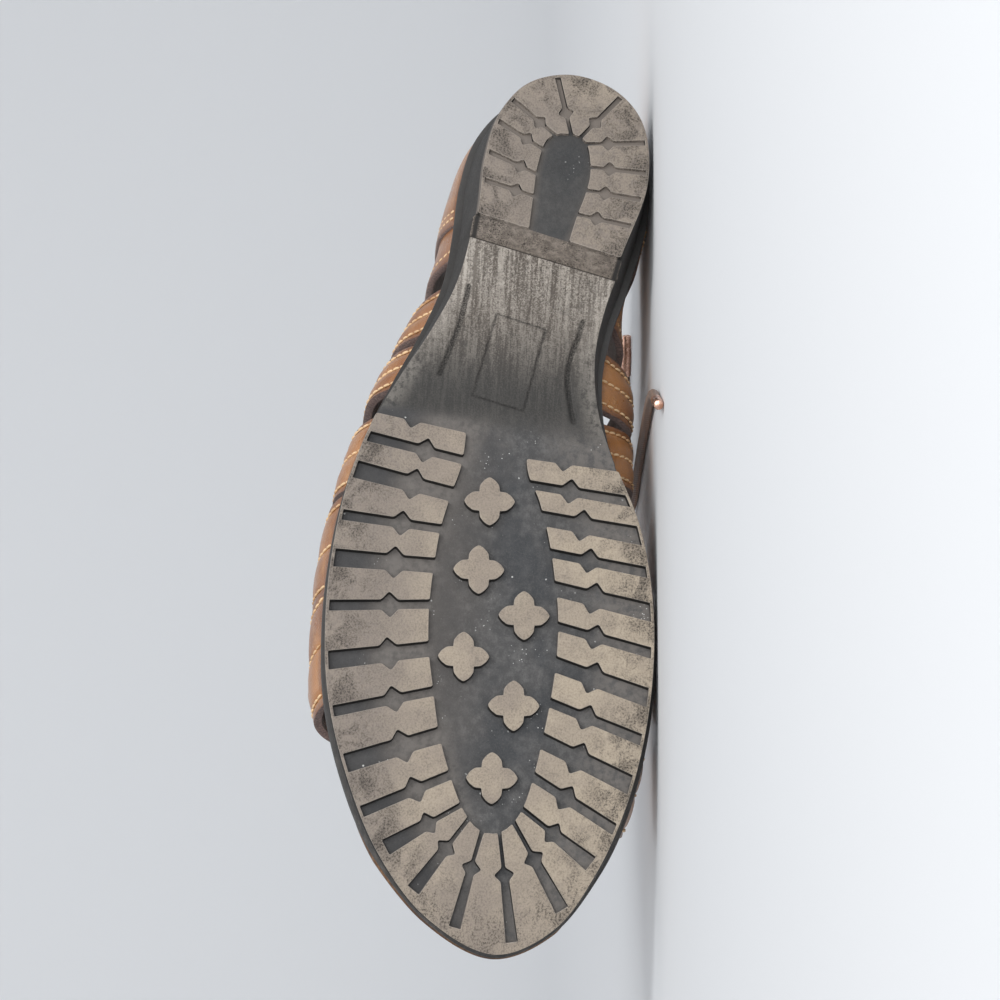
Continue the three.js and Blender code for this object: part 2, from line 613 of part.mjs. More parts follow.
// A point of the skin moved out by lift. At the sole it moves out level, so that no wall dips into it.
function skinAt(around, rise, lift) {
  const out = upFoot(around, rise).cross(alongFoot(around, rise)).normalize();
  const above = Math.min(rise, 2 - rise);
  out.z *= THREE.MathUtils.smoothstep(above, 0, swellRise);
  return skin(around, rise).addScaledVector(out.normalize(), lift);
}

function riseAt(around, height) {
  const base = skin(around, 0).z;
  let [low, high] = [0, 1];
  while (high - low > closeness) {
    const middle = (low + high) / 2;
    if (skin(around, middle).z < base + height) low = middle;
    else high = middle;
  }
  return low;
}

// A leather sheet on the skin: place gives around and rise for two parameters from 0 to 1.
function sheet(layer, place) {
  const [lengthSteps, widthSteps] = [layer.steps, layer.across];
  const points = [];
  const at = (i, j, k) => (k * (lengthSteps + 1) + i) * (widthSteps + 1) + j;
  for (const lift of [layer.inner, layer.outer]) {
    for (let i = 0; i <= lengthSteps; i += 1) {
      for (let j = 0; j <= widthSteps; j += 1) {
        const { around, rise } = place(i / lengthSteps, j / widthSteps);
        points.push(skinAt(around, rise, lift));
      }
    }
  }
  const triangles = [];
  const quad = (a, b, c, d) => triangles.push([a, b, c], [a, c, d]);
  for (let i = 0; i < lengthSteps; i += 1) {
    for (let j = 0; j < widthSteps; j += 1) {
      quad(at(i, j, 0), at(i, j + 1, 0), at(i + 1, j + 1, 0), at(i + 1, j, 0));
      quad(at(i, j, 1), at(i + 1, j, 1), at(i + 1, j + 1, 1), at(i, j + 1, 1));
    }
    quad(at(i, 0, 0), at(i + 1, 0, 0), at(i + 1, 0, 1), at(i, 0, 1));
    const side = widthSteps;
    quad(at(i, side, 0), at(i, side, 1), at(i + 1, side, 1), at(i + 1, side, 0));
  }
  for (let j = 0; j < widthSteps; j += 1) {
    quad(at(0, j, 0), at(0, j, 1), at(0, j + 1, 1), at(0, j + 1, 0));
    const end = lengthSteps;
    quad(at(end, j, 0), at(end, j + 1, 0), at(end, j + 1, 1), at(end, j, 1));
  }
  return solidFrom(points, triangles);
}

const wideBy = (around, rise, width) => width / alongFoot(around, rise).length();
const tallBy = (around, rise, width) => width / upFoot(around, rise).length();

function sideStrap({ side, footX, footWidth, topX, topWidth }) {
  const [foot, top] = [rowAt(side, footX), rowAt(side, topX)];
  return sheet(layers.strap, (s, w) => {
    const rise = s * eyestay.rise;
    const around = side * THREE.MathUtils.lerp(foot, top, s);
    const width = THREE.MathUtils.lerp(footWidth, topWidth, s);
    return { around: around + (w - 0.5) * wideBy(around, rise, width), rise };
  });
}

function vampBand({ inX, inWidth, outX, outWidth, topWidth, topX }) {
  const ends = [rowAt(-1, inX), rowAt(1, topX), rowAt(1, outX)];
  const bend = (a, b, c, s) => {
    if (s < 0.5) return THREE.MathUtils.lerp(a, b, 2 * s);
    return THREE.MathUtils.lerp(b, c, 2 * s - 1);
  };
  return sheet(layers.band, (s, w) => {
    const rise = 2 * s;
    const around = -bend(...ends, s);
    const width = bend(inWidth, topWidth, outWidth, s);
    return { around: around + (w - 0.5) * wideBy(around, rise, width), rise };
  });
}

function counterPanel(layer, edges) {
  const [inner, outer] = [-rowAt(-1, edges.inX), rowAt(1, edges.outX)];
  return sheet(layer, (s, w) => {
    const flat = THREE.MathUtils.lerp(inner, outer, s);
    const forward = Math.min(1, Math.abs(flat) / breastRow);
    const height = THREE.MathUtils.lerp(collarHeight.back, collarHeight.side, forward);
    const rise = w * riseAt(flat, height - edges.drop);
    return { around: flat * (1 + (edges.lean * w) / breastRow), rise };
  });
}

function eyestayBand(side) {
  const [front, back] = [rowAt(side, eyestay.frontX), rowAt(side, eyestay.backX)];
  return sheet(layers.eyestay, (s, w) => {
    const around = side * THREE.MathUtils.lerp(front, back, s);
    return { around, rise: eyestay.rise + (w - 0.5) * tallBy(around, eyestay.rise, eyestay.width) };
  });
}

function collarStrap(side) {
  const [start, end] = [rowAt(side, collarBand.startX), rowAt(side, eyestay.backX)];
  const startRise = riseAt(side * start, collarBand.startHeight);
  return sheet(layers.collar, (s, w) => {
    const around = side * THREE.MathUtils.lerp(start, end, s);
    const rise = THREE.MathUtils.lerp(startRise, eyestay.rise, s * s);
    return { around, rise: rise + (w - 0.5) * tallBy(around, rise, collarBand.width) };
  });
}

function holeRow(side, index) {
  const part = index / (laceHoles.count - 1);
  return rowAt(side, THREE.MathUtils.lerp(laceHoles.frontX, laceHoles.backX, part));
}

function laceHole(side, index) {
  const around = side * holeRow(side, index);
  const low = skinAt(around, eyestay.rise, laceHoles.from);
  const high = skinAt(around, eyestay.rise, laceHoles.to);
  const length = low.distanceTo(high);
  const pin = new THREE.CylinderGeometry(laceHoles.radius, laceHoles.radius, length, laceHoles.sides);
  const axis = high.clone().sub(low).normalize();
  pin.applyQuaternion(new THREE.Quaternion().setFromUnitVectors(new THREE.Vector3(0, 1, 0), axis));
  pin.translate(...low.add(high).divideScalar(2).toArray());
  return solidOf(pin);
}

function upper() {
  const pieces = [
    counterPanel(layers.counter, counterEdge),
    counterPanel(layers.panel, panelEdge),
    ...sideStraps.map(sideStrap),
    ...vampBands.map(vampBand),
    eyestayBand(1),
    eyestayBand(-1),
    collarStrap(1),
    collarStrap(-1),
  ];
  let solid = pieces.reduce((whole, piece) => whole.add(piece));
  for (const side of [1, -1]) {
    for (let i = 0; i < laceHoles.count; i += 1) solid = solid.subtract(laceHole(side, i));
  }
  return solid;
}

// Cord along a curve
const cordSides = 8;
function cord(points, steps, width = laceWidth) {
  const section = new THREE.Shape(Array.from({ length: cordSides }, (_, i) => {
    const angle = (2 * Math.PI * i) / cordSides;
    return new THREE.Vector2(Math.cos(angle), Math.sin(angle)).multiplyScalar(width / 2);
  }));
  const extrudePath = new THREE.CatmullRomCurve3(points);
  return new THREE.ExtrudeGeometry(section, { steps, extrudePath, bevelEnabled: false });
}

// Lace between the eyestays: a bar at the front, a cross between each two pairs of holes, a last bar.
const barSteps = 5;
function laceCrossings() {
  const lift = layers.eyestay.outer + pieceGap + laceWidth / 2;
  const bar = (fromIndex, toIndex) => {
    const [from, to] = [holeRow(1, fromIndex), holeRow(-1, toIndex)];
    const points = stationsBetween(0, 1, 0.5 / barSteps).map((s) => {
      const rise = THREE.MathUtils.lerp(eyestay.rise, 2 - eyestay.rise, s);
      return skinAt(THREE.MathUtils.lerp(from, to, s), rise, lift);
    });
    return solidOf(cord(points, barSteps));
  };
  let solid = bar(0, 0);
  for (let i = 0; i < laceHoles.count - 1; i += 1) solid = solid.add(bar(i, i + 1)).add(bar(i + 1, i));
  return solid.add(bar(laceHoles.count - 1, laceHoles.count - 1));
}

// The metal tip of a lace end, in line with the last stretch of its route.
function laceTip(route) {
  const [before, last] = route.slice(-2).map((point) => new THREE.Vector3(...point));
  const ahead = last.clone().sub(before).normalize();
  const from = last.clone().addScaledVector(ahead, pieceGap);
  const to = from.clone().addScaledVector(ahead, tip.length);
  return cord([from, to], 1, tip.width);
}

// Laying down: the face of the hull under the centre of mass goes on the floor, heel towards +X.
function layingTurn(parts) {
  const points = [];
  const centre = new THREE.Vector3();
  let mass = 0;
  for (const { geometry, weight } of parts) {
    const place = geometry.attributes.position;
    const { volume, centre: own } = weigh(place.array, geometry.index.array);
    centre.addScaledVector(own, volume * weight);
    mass += volume * weight;
    for (let i = 0; i < place.count; i += 1) {
      points.push(new THREE.Vector3().fromBufferAttribute(place, i));
    }
  }
  centre.divideScalar(mass);
  const hull = new ConvexHull().setFromPoints(points);
  let down = new THREE.Vector3(0, -1, 0);
  let floor = null;
  for (let round = 0; round < settleRounds; round += 1) {
    const facing = hull.faces.filter((face) => face.normal.dot(down) > 0);
    const reach = (face) => (face.constant - face.normal.dot(centre)) / face.normal.dot(down);
    floor = facing.reduce((best, face) => (reach(face) < reach(best) ? face : best));
    down = floor.normal;
  }
  const up = floor.normal.clone().negate();
  const heelward = new THREE.Vector3(-1, 0, 0);
  heelward.addScaledVector(up, -heelward.dot(up)).normalize();
  const away = up.clone().cross(heelward);
  return new THREE.Matrix4().makeBasis(heelward, away, up).transpose();
}

function material(color, roughness, metalness = 0) {
  return new THREE.MeshStandardMaterial({ color, roughness, metalness });
}
const rubber = material(0x6f6a64, 0.85);
const tan = material(0xb47a48, 0.5);
const lining = material(0x8a5f3d, 0.7);
const brownLace = material(0x5f3a24, 0.6);
const copper = material(0xb9795a, 0.3, 1);

const shoe = new THREE.Group();
function addPiece(name, solid, look) {
  const mesh = new THREE.Mesh(geometryOf(solid), look);
  mesh.name = name;
  shoe.add(mesh);
  return mesh.geometry;
}
const soleShape = addPiece("outsole", outsole(), rubber);
const insoleShape = addPiece("insole", insole(), lining);
const upperShape = addPiece("upper", upper(), tan);
addPiece("lace_crossings", laceCrossings(), brownLace);

shoe.applyMatrix4(layingTurn([
  { geometry: soleShape, weight: density.rubber },
  { geometry: insoleShape, weight: density.leather },
  { geometry: upperShape, weight: density.leather },
]));
shoe.updateMatrixWorld(true);
const box = new THREE.Box3().setFromObject(shoe, true);
shoe.position.set(heelPlace - box.max.x, -(box.min.y + box.max.y) / 2, -box.min.z);

const group = new THREE.Group();
group.add(shoe);
function addCord(name, geometry, look) {
  const mesh = new THREE.Mesh(geometry, look);
  mesh.name = name;
  group.add(mesh);
}
const ball = new THREE.SphereGeometry(1, knotSides, knotSides - 2);
addCord("lace_knot", ball.scale(...knot.radii).translate(...knot.place), brownLace);
for (const [name, route] of Object.entries({ ...loopRoutes, ...endRoutes })) {
  const points = route.map((point) => new THREE.Vector3(...point));
  const steps = Math.round(new THREE.CatmullRomCurve3(points).getLength() / cordStep);
  addCord(name, cord(points, steps), brownLace);
}
for (const [name, route] of Object.entries(endRoutes)) {
  addCord(name.replace("lace_end", "lace_tip"), laceTip(route), copper);
}
export default group;
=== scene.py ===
import math
import bpy
import numpy as np
from mathutils import Matrix, Vector


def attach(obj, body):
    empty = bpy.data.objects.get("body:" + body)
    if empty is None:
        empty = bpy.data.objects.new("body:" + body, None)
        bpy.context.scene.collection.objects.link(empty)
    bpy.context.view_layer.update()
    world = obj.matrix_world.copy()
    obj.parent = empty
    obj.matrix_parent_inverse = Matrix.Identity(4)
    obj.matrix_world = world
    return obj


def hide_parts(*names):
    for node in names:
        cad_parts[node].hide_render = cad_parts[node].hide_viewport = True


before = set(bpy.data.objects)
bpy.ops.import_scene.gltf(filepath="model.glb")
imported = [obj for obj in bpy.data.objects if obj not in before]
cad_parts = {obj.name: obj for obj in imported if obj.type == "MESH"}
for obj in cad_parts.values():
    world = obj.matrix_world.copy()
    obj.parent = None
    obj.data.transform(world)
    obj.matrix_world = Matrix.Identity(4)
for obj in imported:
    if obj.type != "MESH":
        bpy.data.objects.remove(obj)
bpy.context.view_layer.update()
print("frame loaded, nodes:", len(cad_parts))

# axes of the standing shoe as it lies, and the place of its heel corner, in millimetres
layPose = {
    "along": (-0.997508, 0.0, 0.070558),
    "outward": (0.070465, -0.051136, 0.996203),
    "upward": (0.003608, 0.998692, 0.051008),
    "place": (132.915075, -56.338687, 26.331463),
}
layAxes = np.array([layPose["along"], layPose["outward"], layPose["upward"]])
layPlace = np.array(layPose["place"])


def toWorld(points):  # standing millimetres to lying metres
    return (np.asarray(points, float) @ layAxes + layPlace) / 1000


def toShoe(points):
    return (np.asarray(points, float) * 1000 - layPlace) @ layAxes.T


def sizeOf(v):
    return np.linalg.norm(v, axis=-1)


def unit(v):
    return v / np.linalg.norm(v, axis=-1, keepdims=True)


def smoothStep(t):
    return t * t * (3 - 2 * t)


def runAlong(path):  # distance from the start of a path to each of its points
    return np.concatenate([[0], np.cumsum(sizeOf(np.diff(path, axis=0)))])


def pointsAt(at, run, path):
    return np.stack([np.interp(at, run, path[:, k]) for k in range(3)], axis=1)


def deselectAll():
    if bpy.context.object and bpy.context.object.mode != "OBJECT":
        bpy.ops.object.mode_set(mode="OBJECT")
    bpy.ops.object.select_all(action="DESELECT")


def makeActive(*pieces):
    deselectAll()
    for piece in pieces:
        piece.select_set(True)
    bpy.context.view_layer.objects.active = pieces[0]


def joinPieces(pieces, name):
    makeActive(*pieces)
    bpy.ops.object.join()
    piece = bpy.context.object
    piece.name = piece.data.name = name
    return piece


def editPiece(piece, *steps):  # mesh operators, each on the whole of a piece
    makeActive(piece)
    bpy.ops.object.mode_set(mode="EDIT")
    for step, settings in steps:
        bpy.ops.mesh.select_all(action="SELECT")
        step(**settings)
    bpy.ops.object.mode_set(mode="OBJECT")


def weldPiece(piece, near):
    editPiece(piece, (bpy.ops.mesh.remove_doubles, {"threshold": near}),
              (bpy.ops.mesh.normals_make_consistent, {"inside": False}))


def applyModifier(piece, kind, **settings):
    makeActive(piece)
    modifier = piece.modifiers.new(kind, kind)
    for key, value in settings.items():
        setattr(modifier, key, value)
    bpy.ops.object.modifier_apply(modifier=modifier.name)


def smoothPiece(piece, degrees):
    makeActive(piece)
    bpy.ops.object.shade_smooth_by_angle(angle=math.radians(degrees))


def pointArray(piece):
    flat = np.zeros(len(piece.data.vertices) * 3)
    piece.data.vertices.foreach_get("co", flat)
    return flat.reshape(-1, 3)


def placePoints(piece, points):
    piece.data.vertices.foreach_set("co", np.asarray(points, float).ravel())
    piece.data.update()


def storeValues(piece, name, values, kind="FLOAT"):
    layer = piece.data.attributes.new(name, kind, "POINT")
    field = "vector" if kind == "FLOAT_VECTOR" else "value"
    layer.data.foreach_set(field, np.asarray(values, float).ravel())


def meshPiece(name, points, faces):
    mesh = bpy.data.meshes.new(name)
    mesh.from_pydata([tuple(p) for p in points], [], [tuple(f) for f in faces])
    mesh.update()
    piece = bpy.data.objects.new(name, mesh)
    bpy.context.collection.objects.link(piece)
    return piece


def ringFaces(rings, count):  # quads between closed rings of points
    faces = []
    for first in range(0, (rings - 1) * count, count):
        for k in range(count):
            after = (k + 1) % count
            faces.append((first + k, first + after, first + count + after, first + count + k))
    return faces


def finishPiece(piece, slot, *nodes):
    points = pointArray(piece)
    points[:, 2] = np.maximum(points[:, 2], 0)  # flattened where it rests on the floor
    placePoints(piece, points)
    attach(piece, "root")
    if nodes:
        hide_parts(*nodes)


# camera: over the sole, leaning towards the toe, heel up in the picture
shot = {"toeLean": 19, "outerLean": 2.6, "far": 1.3, "pixel": 0.000297, "tilt": 4.46,
        "aim": (136, 10.0, 8.0), "sensor": 36, "pixels": 1000, "clip": 20}


def makeCamera():
    lean, side = math.radians(shot["toeLean"]), math.radians(shot["outerLean"])
    sight = -layAxes[2] * math.cos(lean) + layAxes[0] * math.sin(lean) + layAxes[1] * math.sin(side)
    sight = unit(sight)
    heelward = unit(-layAxes[0] - sight * (-layAxes[0] @ sight))
    across = np.cross(heelward, sight)
    c, s = math.cos(math.radians(shot["tilt"])), math.sin(math.radians(shot["tilt"]))
    right, up = s * heelward + c * across, c * heelward - s * across
    eye = toWorld(shot["aim"]) + sight * shot["far"]
    data = bpy.data.cameras.new("shotCamera")
    data.sensor_width = shot["sensor"]
    data.lens = shot["sensor"] * shot["far"] / (shot["pixels"] * shot["pixel"])
    data.clip_end = shot["clip"]
    camera = bpy.data.objects.new("shotCamera", data)
    bpy.context.collection.objects.link(camera)
    turn = np.array([right, up, sight]).T
    camera.matrix_world = Matrix([list(turn[i]) + [eye[i]] for i in range(3)] + [[0, 0, 0, 1]])
    bpy.context.scene.camera = camera
    print("camera at", [round(float(v), 3) for v in eye])


makeCamera()


# a material, its tints by name and the nodes that it needs
class Look:
    def __init__(self, name, tints, carried=None):
        self.material = bpy.data.materials.new(name)
        self.material.use_nodes = True
        self.tree = self.material.node_tree
        self.tints = tints
        self.place = self.stored(carried, "Vector") if carried else self.node("TexCoord", "Object", {})

    def put(self, socket, value):  # a link from another node, or a constant
        if isinstance(value, bpy.types.NodeSocket):
            self.tree.links.new(value, socket)
        elif isinstance(value, str):
            socket.default_value = (*self.tints[value], 1)
        else:
            socket.default_value = value

    def node(self, kind, output, inputs, **settings):
        node = self.tree.nodes.new("ShaderNode" + kind)
        for key, value in settings.items():
            setattr(node, key, value)
        for socket, value in inputs.items():
            self.put(node.inputs[socket], value)
        return node.outputs[output]

    def math(self, operation, a, b=0.0, clamp=False):
        return self.node("Math", 0, {0: a, 1: b}, operation=operation, use_clamp=clamp)

    def add(self, a, b, clamp=False):
        return self.math("ADD", a, b, clamp)

    def both(self, a, b):
        return self.math("MULTIPLY", a, b)

    def most(self, a, b):
        return self.math("MAXIMUM", a, b)

    def ramp(self, value, low, high, outLow=0.0, outHigh=1.0):  # smooth step between two values
        inputs = {"Value": value, "From Min": low, "From Max": high, "To Min": outLow, "To Max": outHigh}
        return self.node("MapRange", "Result", inputs, interpolation_type="SMOOTHSTEP")

    def stack(self, colour, *layers):  # colours laid over one another, each by its mask
        for mask, over in layers:
            colour = self.node("Mix", 2, {0: mask, 6: colour, 7: over}, data_type="RGBA")
        return colour

    def stored(self, name, output="Fac"):
        return self.node("Attribute", output, {}, attribute_name=name)

    def parts(self):  # x, y and z of the place
        return self.node("SeparateXYZ", slice(None), {0: self.place})

    def facing(self, axis):  # how far the surface faces along an axis
        normal = self.node("NewGeometry", "Normal", {})
        return self.node("VectorMath", "Value", {0: normal, 1: tuple(axis)}, operation="DOT_PRODUCT")

    def scaled(self, scale):
        return self.node("Mapping", 0, {"Vector": self.place, "Scale": scale})

    def noise(self, scale, detail=3.0, rough=0.55, distortion=0.0, at=None):
        inputs = {"Vector": self.place if at is None else at, "Scale": scale, "Detail": detail,
                  "Roughness": rough, "Distortion": distortion}
        return self.node("TexNoise", "Fac", inputs)

    def cells(self, scale, feature="F1"):
        return self.node("TexVoronoi", "Distance", {"Vector": self.place, "Scale": scale}, feature=feature)

    def bump(self, height, strength, distance, before=None):
        inputs = {"Height": height, "Strength": strength, "Distance": distance}
        if before is not None:
            inputs["Normal"] = before
        return self.node("Bump", "Normal", inputs)

    def finish(self, inputs):
        for name, value in inputs.items():
            self.put(self.tree.nodes["Principled BSDF"].inputs[name], value)
        return self.material


# lace: knot, loops and ends along the routes of the solids, in metres
laceCord = {"radius": 0.0015, "sides": 16, "step": 0.0006, "strands": 4, "relief": 0.035, "pitch": 0.0038,
            "aside": (0.31, 0.83, 0.46), "weld": 0.0002}
loopRoutes = {
    "lace_loop_a": [(0.0222, 0.0642, 0.0436), (0.017, 0.067, 0.036), (0.010, 0.068, 0.022),
                    (0.004, 0.068, 0.009), (0.0, 0.070, 0.0026), (-0.005, 0.075, 0.0016),
                    (-0.003, 0.081, 0.0016), (0.004, 0.081, 0.003), (0.011, 0.077, 0.012),
                    (0.0165, 0.072, 0.026), (0.021, 0.067, 0.037), (0.0233, 0.065, 0.0412)],
    "lace_loop_b": [(0.031, 0.0622, 0.0474), (0.037, 0.066, 0.046), (0.045, 0.069, 0.035),
                    (0.050, 0.070, 0.019), (0.053, 0.071, 0.007), (0.056, 0.074, 0.0018),
                    (0.060, 0.079, 0.0016), (0.057, 0.084, 0.0016), (0.050, 0.082, 0.0032),
                    (0.046, 0.077, 0.013), (0.041, 0.072, 0.028), (0.035, 0.067, 0.0395),
                    (0.031, 0.0636, 0.0436)],
}
endRoutes = {
    "lace_end_a": [(0.0264, 0.0616, 0.0406), (0.028, 0.064, 0.031), (0.0295, 0.065, 0.018),
                   (0.0305, 0.064, 0.008), (0.031, 0.059, 0.0028), (0.031, 0.050, 0.0017),
                   (0.031, 0.025, 0.0016), (0.031, 0.0, 0.0016), (0.0305, -0.025, 0.0016),
                   (0.029, -0.050, 0.0016), (0.025, -0.068, 0.0016), (0.018, -0.082, 0.0016)],
    "lace_end_b": [(0.0262, 0.0662, 0.0458), (0.027, 0.0705, 0.043), (0.0285, 0.074, 0.031),
                   (0.031, 0.076, 0.015), (0.034, 0.079, 0.0044), (0.040, 0.085, 0.0019),
                   (0.050, 0.093, 0.0017), (0.063, 0.097, 0.0017), (0.077, 0.094, 0.0017),
                   (0.088, 0.086, 0.0017)],
}


def tangents(a, b, c, d):  # of a centripetal curve at b and c
    g0, g1, g2 = (np.maximum(sizeOf(q - p), 1e-9)[..., None] ** 0.5 for p, q in ((a, b), (b, c), (c, d)))
    return (g1 * ((b - a) / g0 - (c - a) / (g0 + g1) + (c - b) / g1),
            g1 * ((c - b) / g1 - (d - b) / (g1 + g2) + (d - c) / g2))


def curveThrough(points, step, closed=False):  # even steps along such a curve
    points = np.asarray(points, float)
    if closed:
        rows = np.vstack([points[-1], points, points[:2]])
    else:
        rows = np.vstack([2 * points[0] - points[1], points, 2 * points[-1] - points[-2]])
    found = []
    for a, b, c, d in zip(rows, rows[1:], rows[2:], rows[3:]):
        m1, m2 = tangents(a, b, c, d)
        t = np.linspace(0, 1, 40, endpoint=False)[:, None]
        found.append((2 * t**3 - 3 * t**2 + 1) * b + (t**3 - 2 * t**2 + t) * m1
                     + (-2 * t**3 + 3 * t**2) * c + (t**3 - t**2) * m2)
    path = np.vstack(found + [points[:1] if closed else points[-1:]])
    run = runAlong(path)
    even = np.linspace(0, run[-1], max(2, round(run[-1] / step)) + 1)
    return pointsAt(even, run, path), run[-1]


def cordTube(name, points, radius, closed=False):
    path, length = curveThrough(points, laceCord["step"], closed)
    ahead = unit(np.gradient(path, axis=0))
    side = np.cross(ahead[0], laceCord["aside"])
    sides, count = laceCord["sides"], len(path)
    angles, runs = np.arange(sides) * 2 * math.pi / sides, np.linspace(0, length, count)
    spin, rings = laceCord["strands"] / 2 * angles, []
    for centre, forward, run in zip(path, ahead, runs):
        side = unit(side - forward * (side @ forward))
        twist = 2 * math.pi * run / laceCord["pitch"]
        weave = np.cos(spin + twist) * np.cos(spin - twist)
        reach = radius * (1 - laceCord["relief"] * (1 - weave))
        rings.append(centre + np.outer(reach * np.cos(angles), side)
                     + np.outer(reach * np.sin(angles), np.cross(forward, side)))
    faces = ringFaces(count, sides)
    if not closed:
        faces.append(tuple(reversed(range(sides))))
        faces.append(tuple(range((count - 1) * sides, count * sides)))
    piece = meshPiece(name, np.vstack(rings), faces)
    storeValues(piece, "run", np.repeat(runs, sides))
    storeValues(piece, "turn", np.tile(angles, count))
    if closed:
        editPiece(piece, (bpy.ops.mesh.remove_doubles, {"threshold": laceCord["weld"]}))
    smoothPiece(piece, 60)
    return piece, path, length


def makeLaceMaterial():
    wax = Look("waxedLace", {"dark": (0.105, 0.048, 0.024), "light": (0.285, 0.145, 0.075)})
    phase = wax.both(wax.stored("run"), 2 * math.pi / laceCord["pitch"])
    spin = wax.both(wax.stored("turn"), laceCord["strands"] / 2)
    left, right = (wax.math("COSINE", wax.math(way, spin, phase)) for way in ("ADD", "SUBTRACT"))
    # the braid's crests lighter and its troughs darker, on the pattern of its relief: painted highlight and
    # painted shade
    weave = wax.ramp(wax.both(left, right), -0.8, 0.8)
    worn = wax.ramp(wax.noise(260, 4), 0.25, 0.75, 0.35, 1.0)
    height = wax.add(weave, wax.both(wax.noise(2600, 2), 0.5))
    return wax.finish({"Base Color": wax.stack("dark", (wax.both(weave, worn), "light")), "Roughness": 0.55,
                       "Sheen Weight": 0.15, "Normal": wax.bump(height, 0.4, 0.0002)})


laceMaterial = makeLaceMaterial()


def makeTip(name, route):
    tip = {"length": 0.014, "radius": 0.0016, "gap": 0.0003, "sides": 20, "edge": 0.00025, "crimp": 0.05,
           "crimpAt": -0.0045, "crimpReach": 0.0006, "taper": 0.12, "taperFrom": 0.003, "taperOver": 0.004}
    before, last = np.array(route[-2]), np.array(route[-1])
    ahead = unit(last - before)
    deselectAll()
    bpy.ops.mesh.primitive_cylinder_add(vertices=tip["sides"], radius=tip["radius"], depth=tip["length"])
    piece = bpy.context.object
    piece.name = piece.data.name = name
    editPiece(piece, (bpy.ops.mesh.subdivide, {"number_cuts": 1}))
    applyModifier(piece, "BEVEL", width=tip["edge"], segments=2, limit_method="ANGLE",
                  angle_limit=math.radians(50))
    points = pointArray(piece)
    waist = 1 - tip["crimp"] * np.exp(-((points[:, 2] - tip["crimpAt"]) / tip["crimpReach"]) ** 2)
    taper = 1 - tip["taper"] * np.clip((points[:, 2] - tip["taperFrom"]) / tip["taperOver"], 0, 1)
    points[:, :2] *= (waist * taper)[:, None]
    side = unit(np.cross((0, 0, 1), ahead))
    middle = last + ahead * (tip["gap"] + tip["length"] / 2)
    placePoints(piece, middle + points @ np.array([side, np.cross(ahead, side), ahead]))
    smoothPiece(piece, 40)
    return piece


def makeTipMaterial():
    copper = Look("copperTip", {"bright": (0.80, 0.50, 0.38), "dull": (0.42, 0.22, 0.15)})
    stain = copper.ramp(copper.noise(420, 5), 0.42, 0.68)
    return copper.finish({"Base Color": copper.stack("bright", (stain, "dull")), "Metallic": 1.0,
                          "Roughness": copper.ramp(stain, 0, 1, 0.26, 0.5),
                          "Normal": copper.bump(copper.noise(1500, 3), 0.15, 0.0001)})


tipMaterial = makeTipMaterial()
knotForm = {"place": (0.026, 0.0602, 0.0456), "size": 0.00112, "flat": 0.95, "thin": 0.97, "steps": 60}


def makeBow():
    t = np.linspace(0, 2 * math.pi, knotForm["steps"], endpoint=False)
    shape = np.stack([np.sin(t) + 2 * np.sin(2 * t), -np.sin(3 * t) * knotForm["flat"],
                      np.cos(t) - 2 * np.cos(2 * t)], axis=1)
    knot, _, _ = cordTube("lace_knot_tied", np.array(knotForm["place"]) + shape * knotForm["size"],
                          laceCord["radius"] * knotForm["thin"], closed=True)
    knot.data.materials.append(laceMaterial)
    finishPiece(knot, "lace_cord", "lace_knot")
    for name, route in loopRoutes.items():
        piece, path, length = cordTube(name + "_tied", route, laceCord["radius"])
        piece.data.materials.append(laceMaterial)
        finishPiece(piece, "lace_cord", name)
        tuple(route[0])
        [tuple(p) for p in path]
    for name, route in endRoutes.items():
        piece, path, length = cordTube(name + "_tied", route, laceCord["radius"])
        piece.data.materials.append(laceMaterial)
        finishPiece(piece, "lace_cord", name)
        tipNode = name.replace("end", "tip")
        tip = makeTip(tipNode + "_metal", route)
        tip.data.materials.append(tipMaterial)
        finishPiece(tip, "tip_metal", tipNode)
        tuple(route[0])
        [tuple(p) for p in path]
    print("lace bow made")


makeBow()


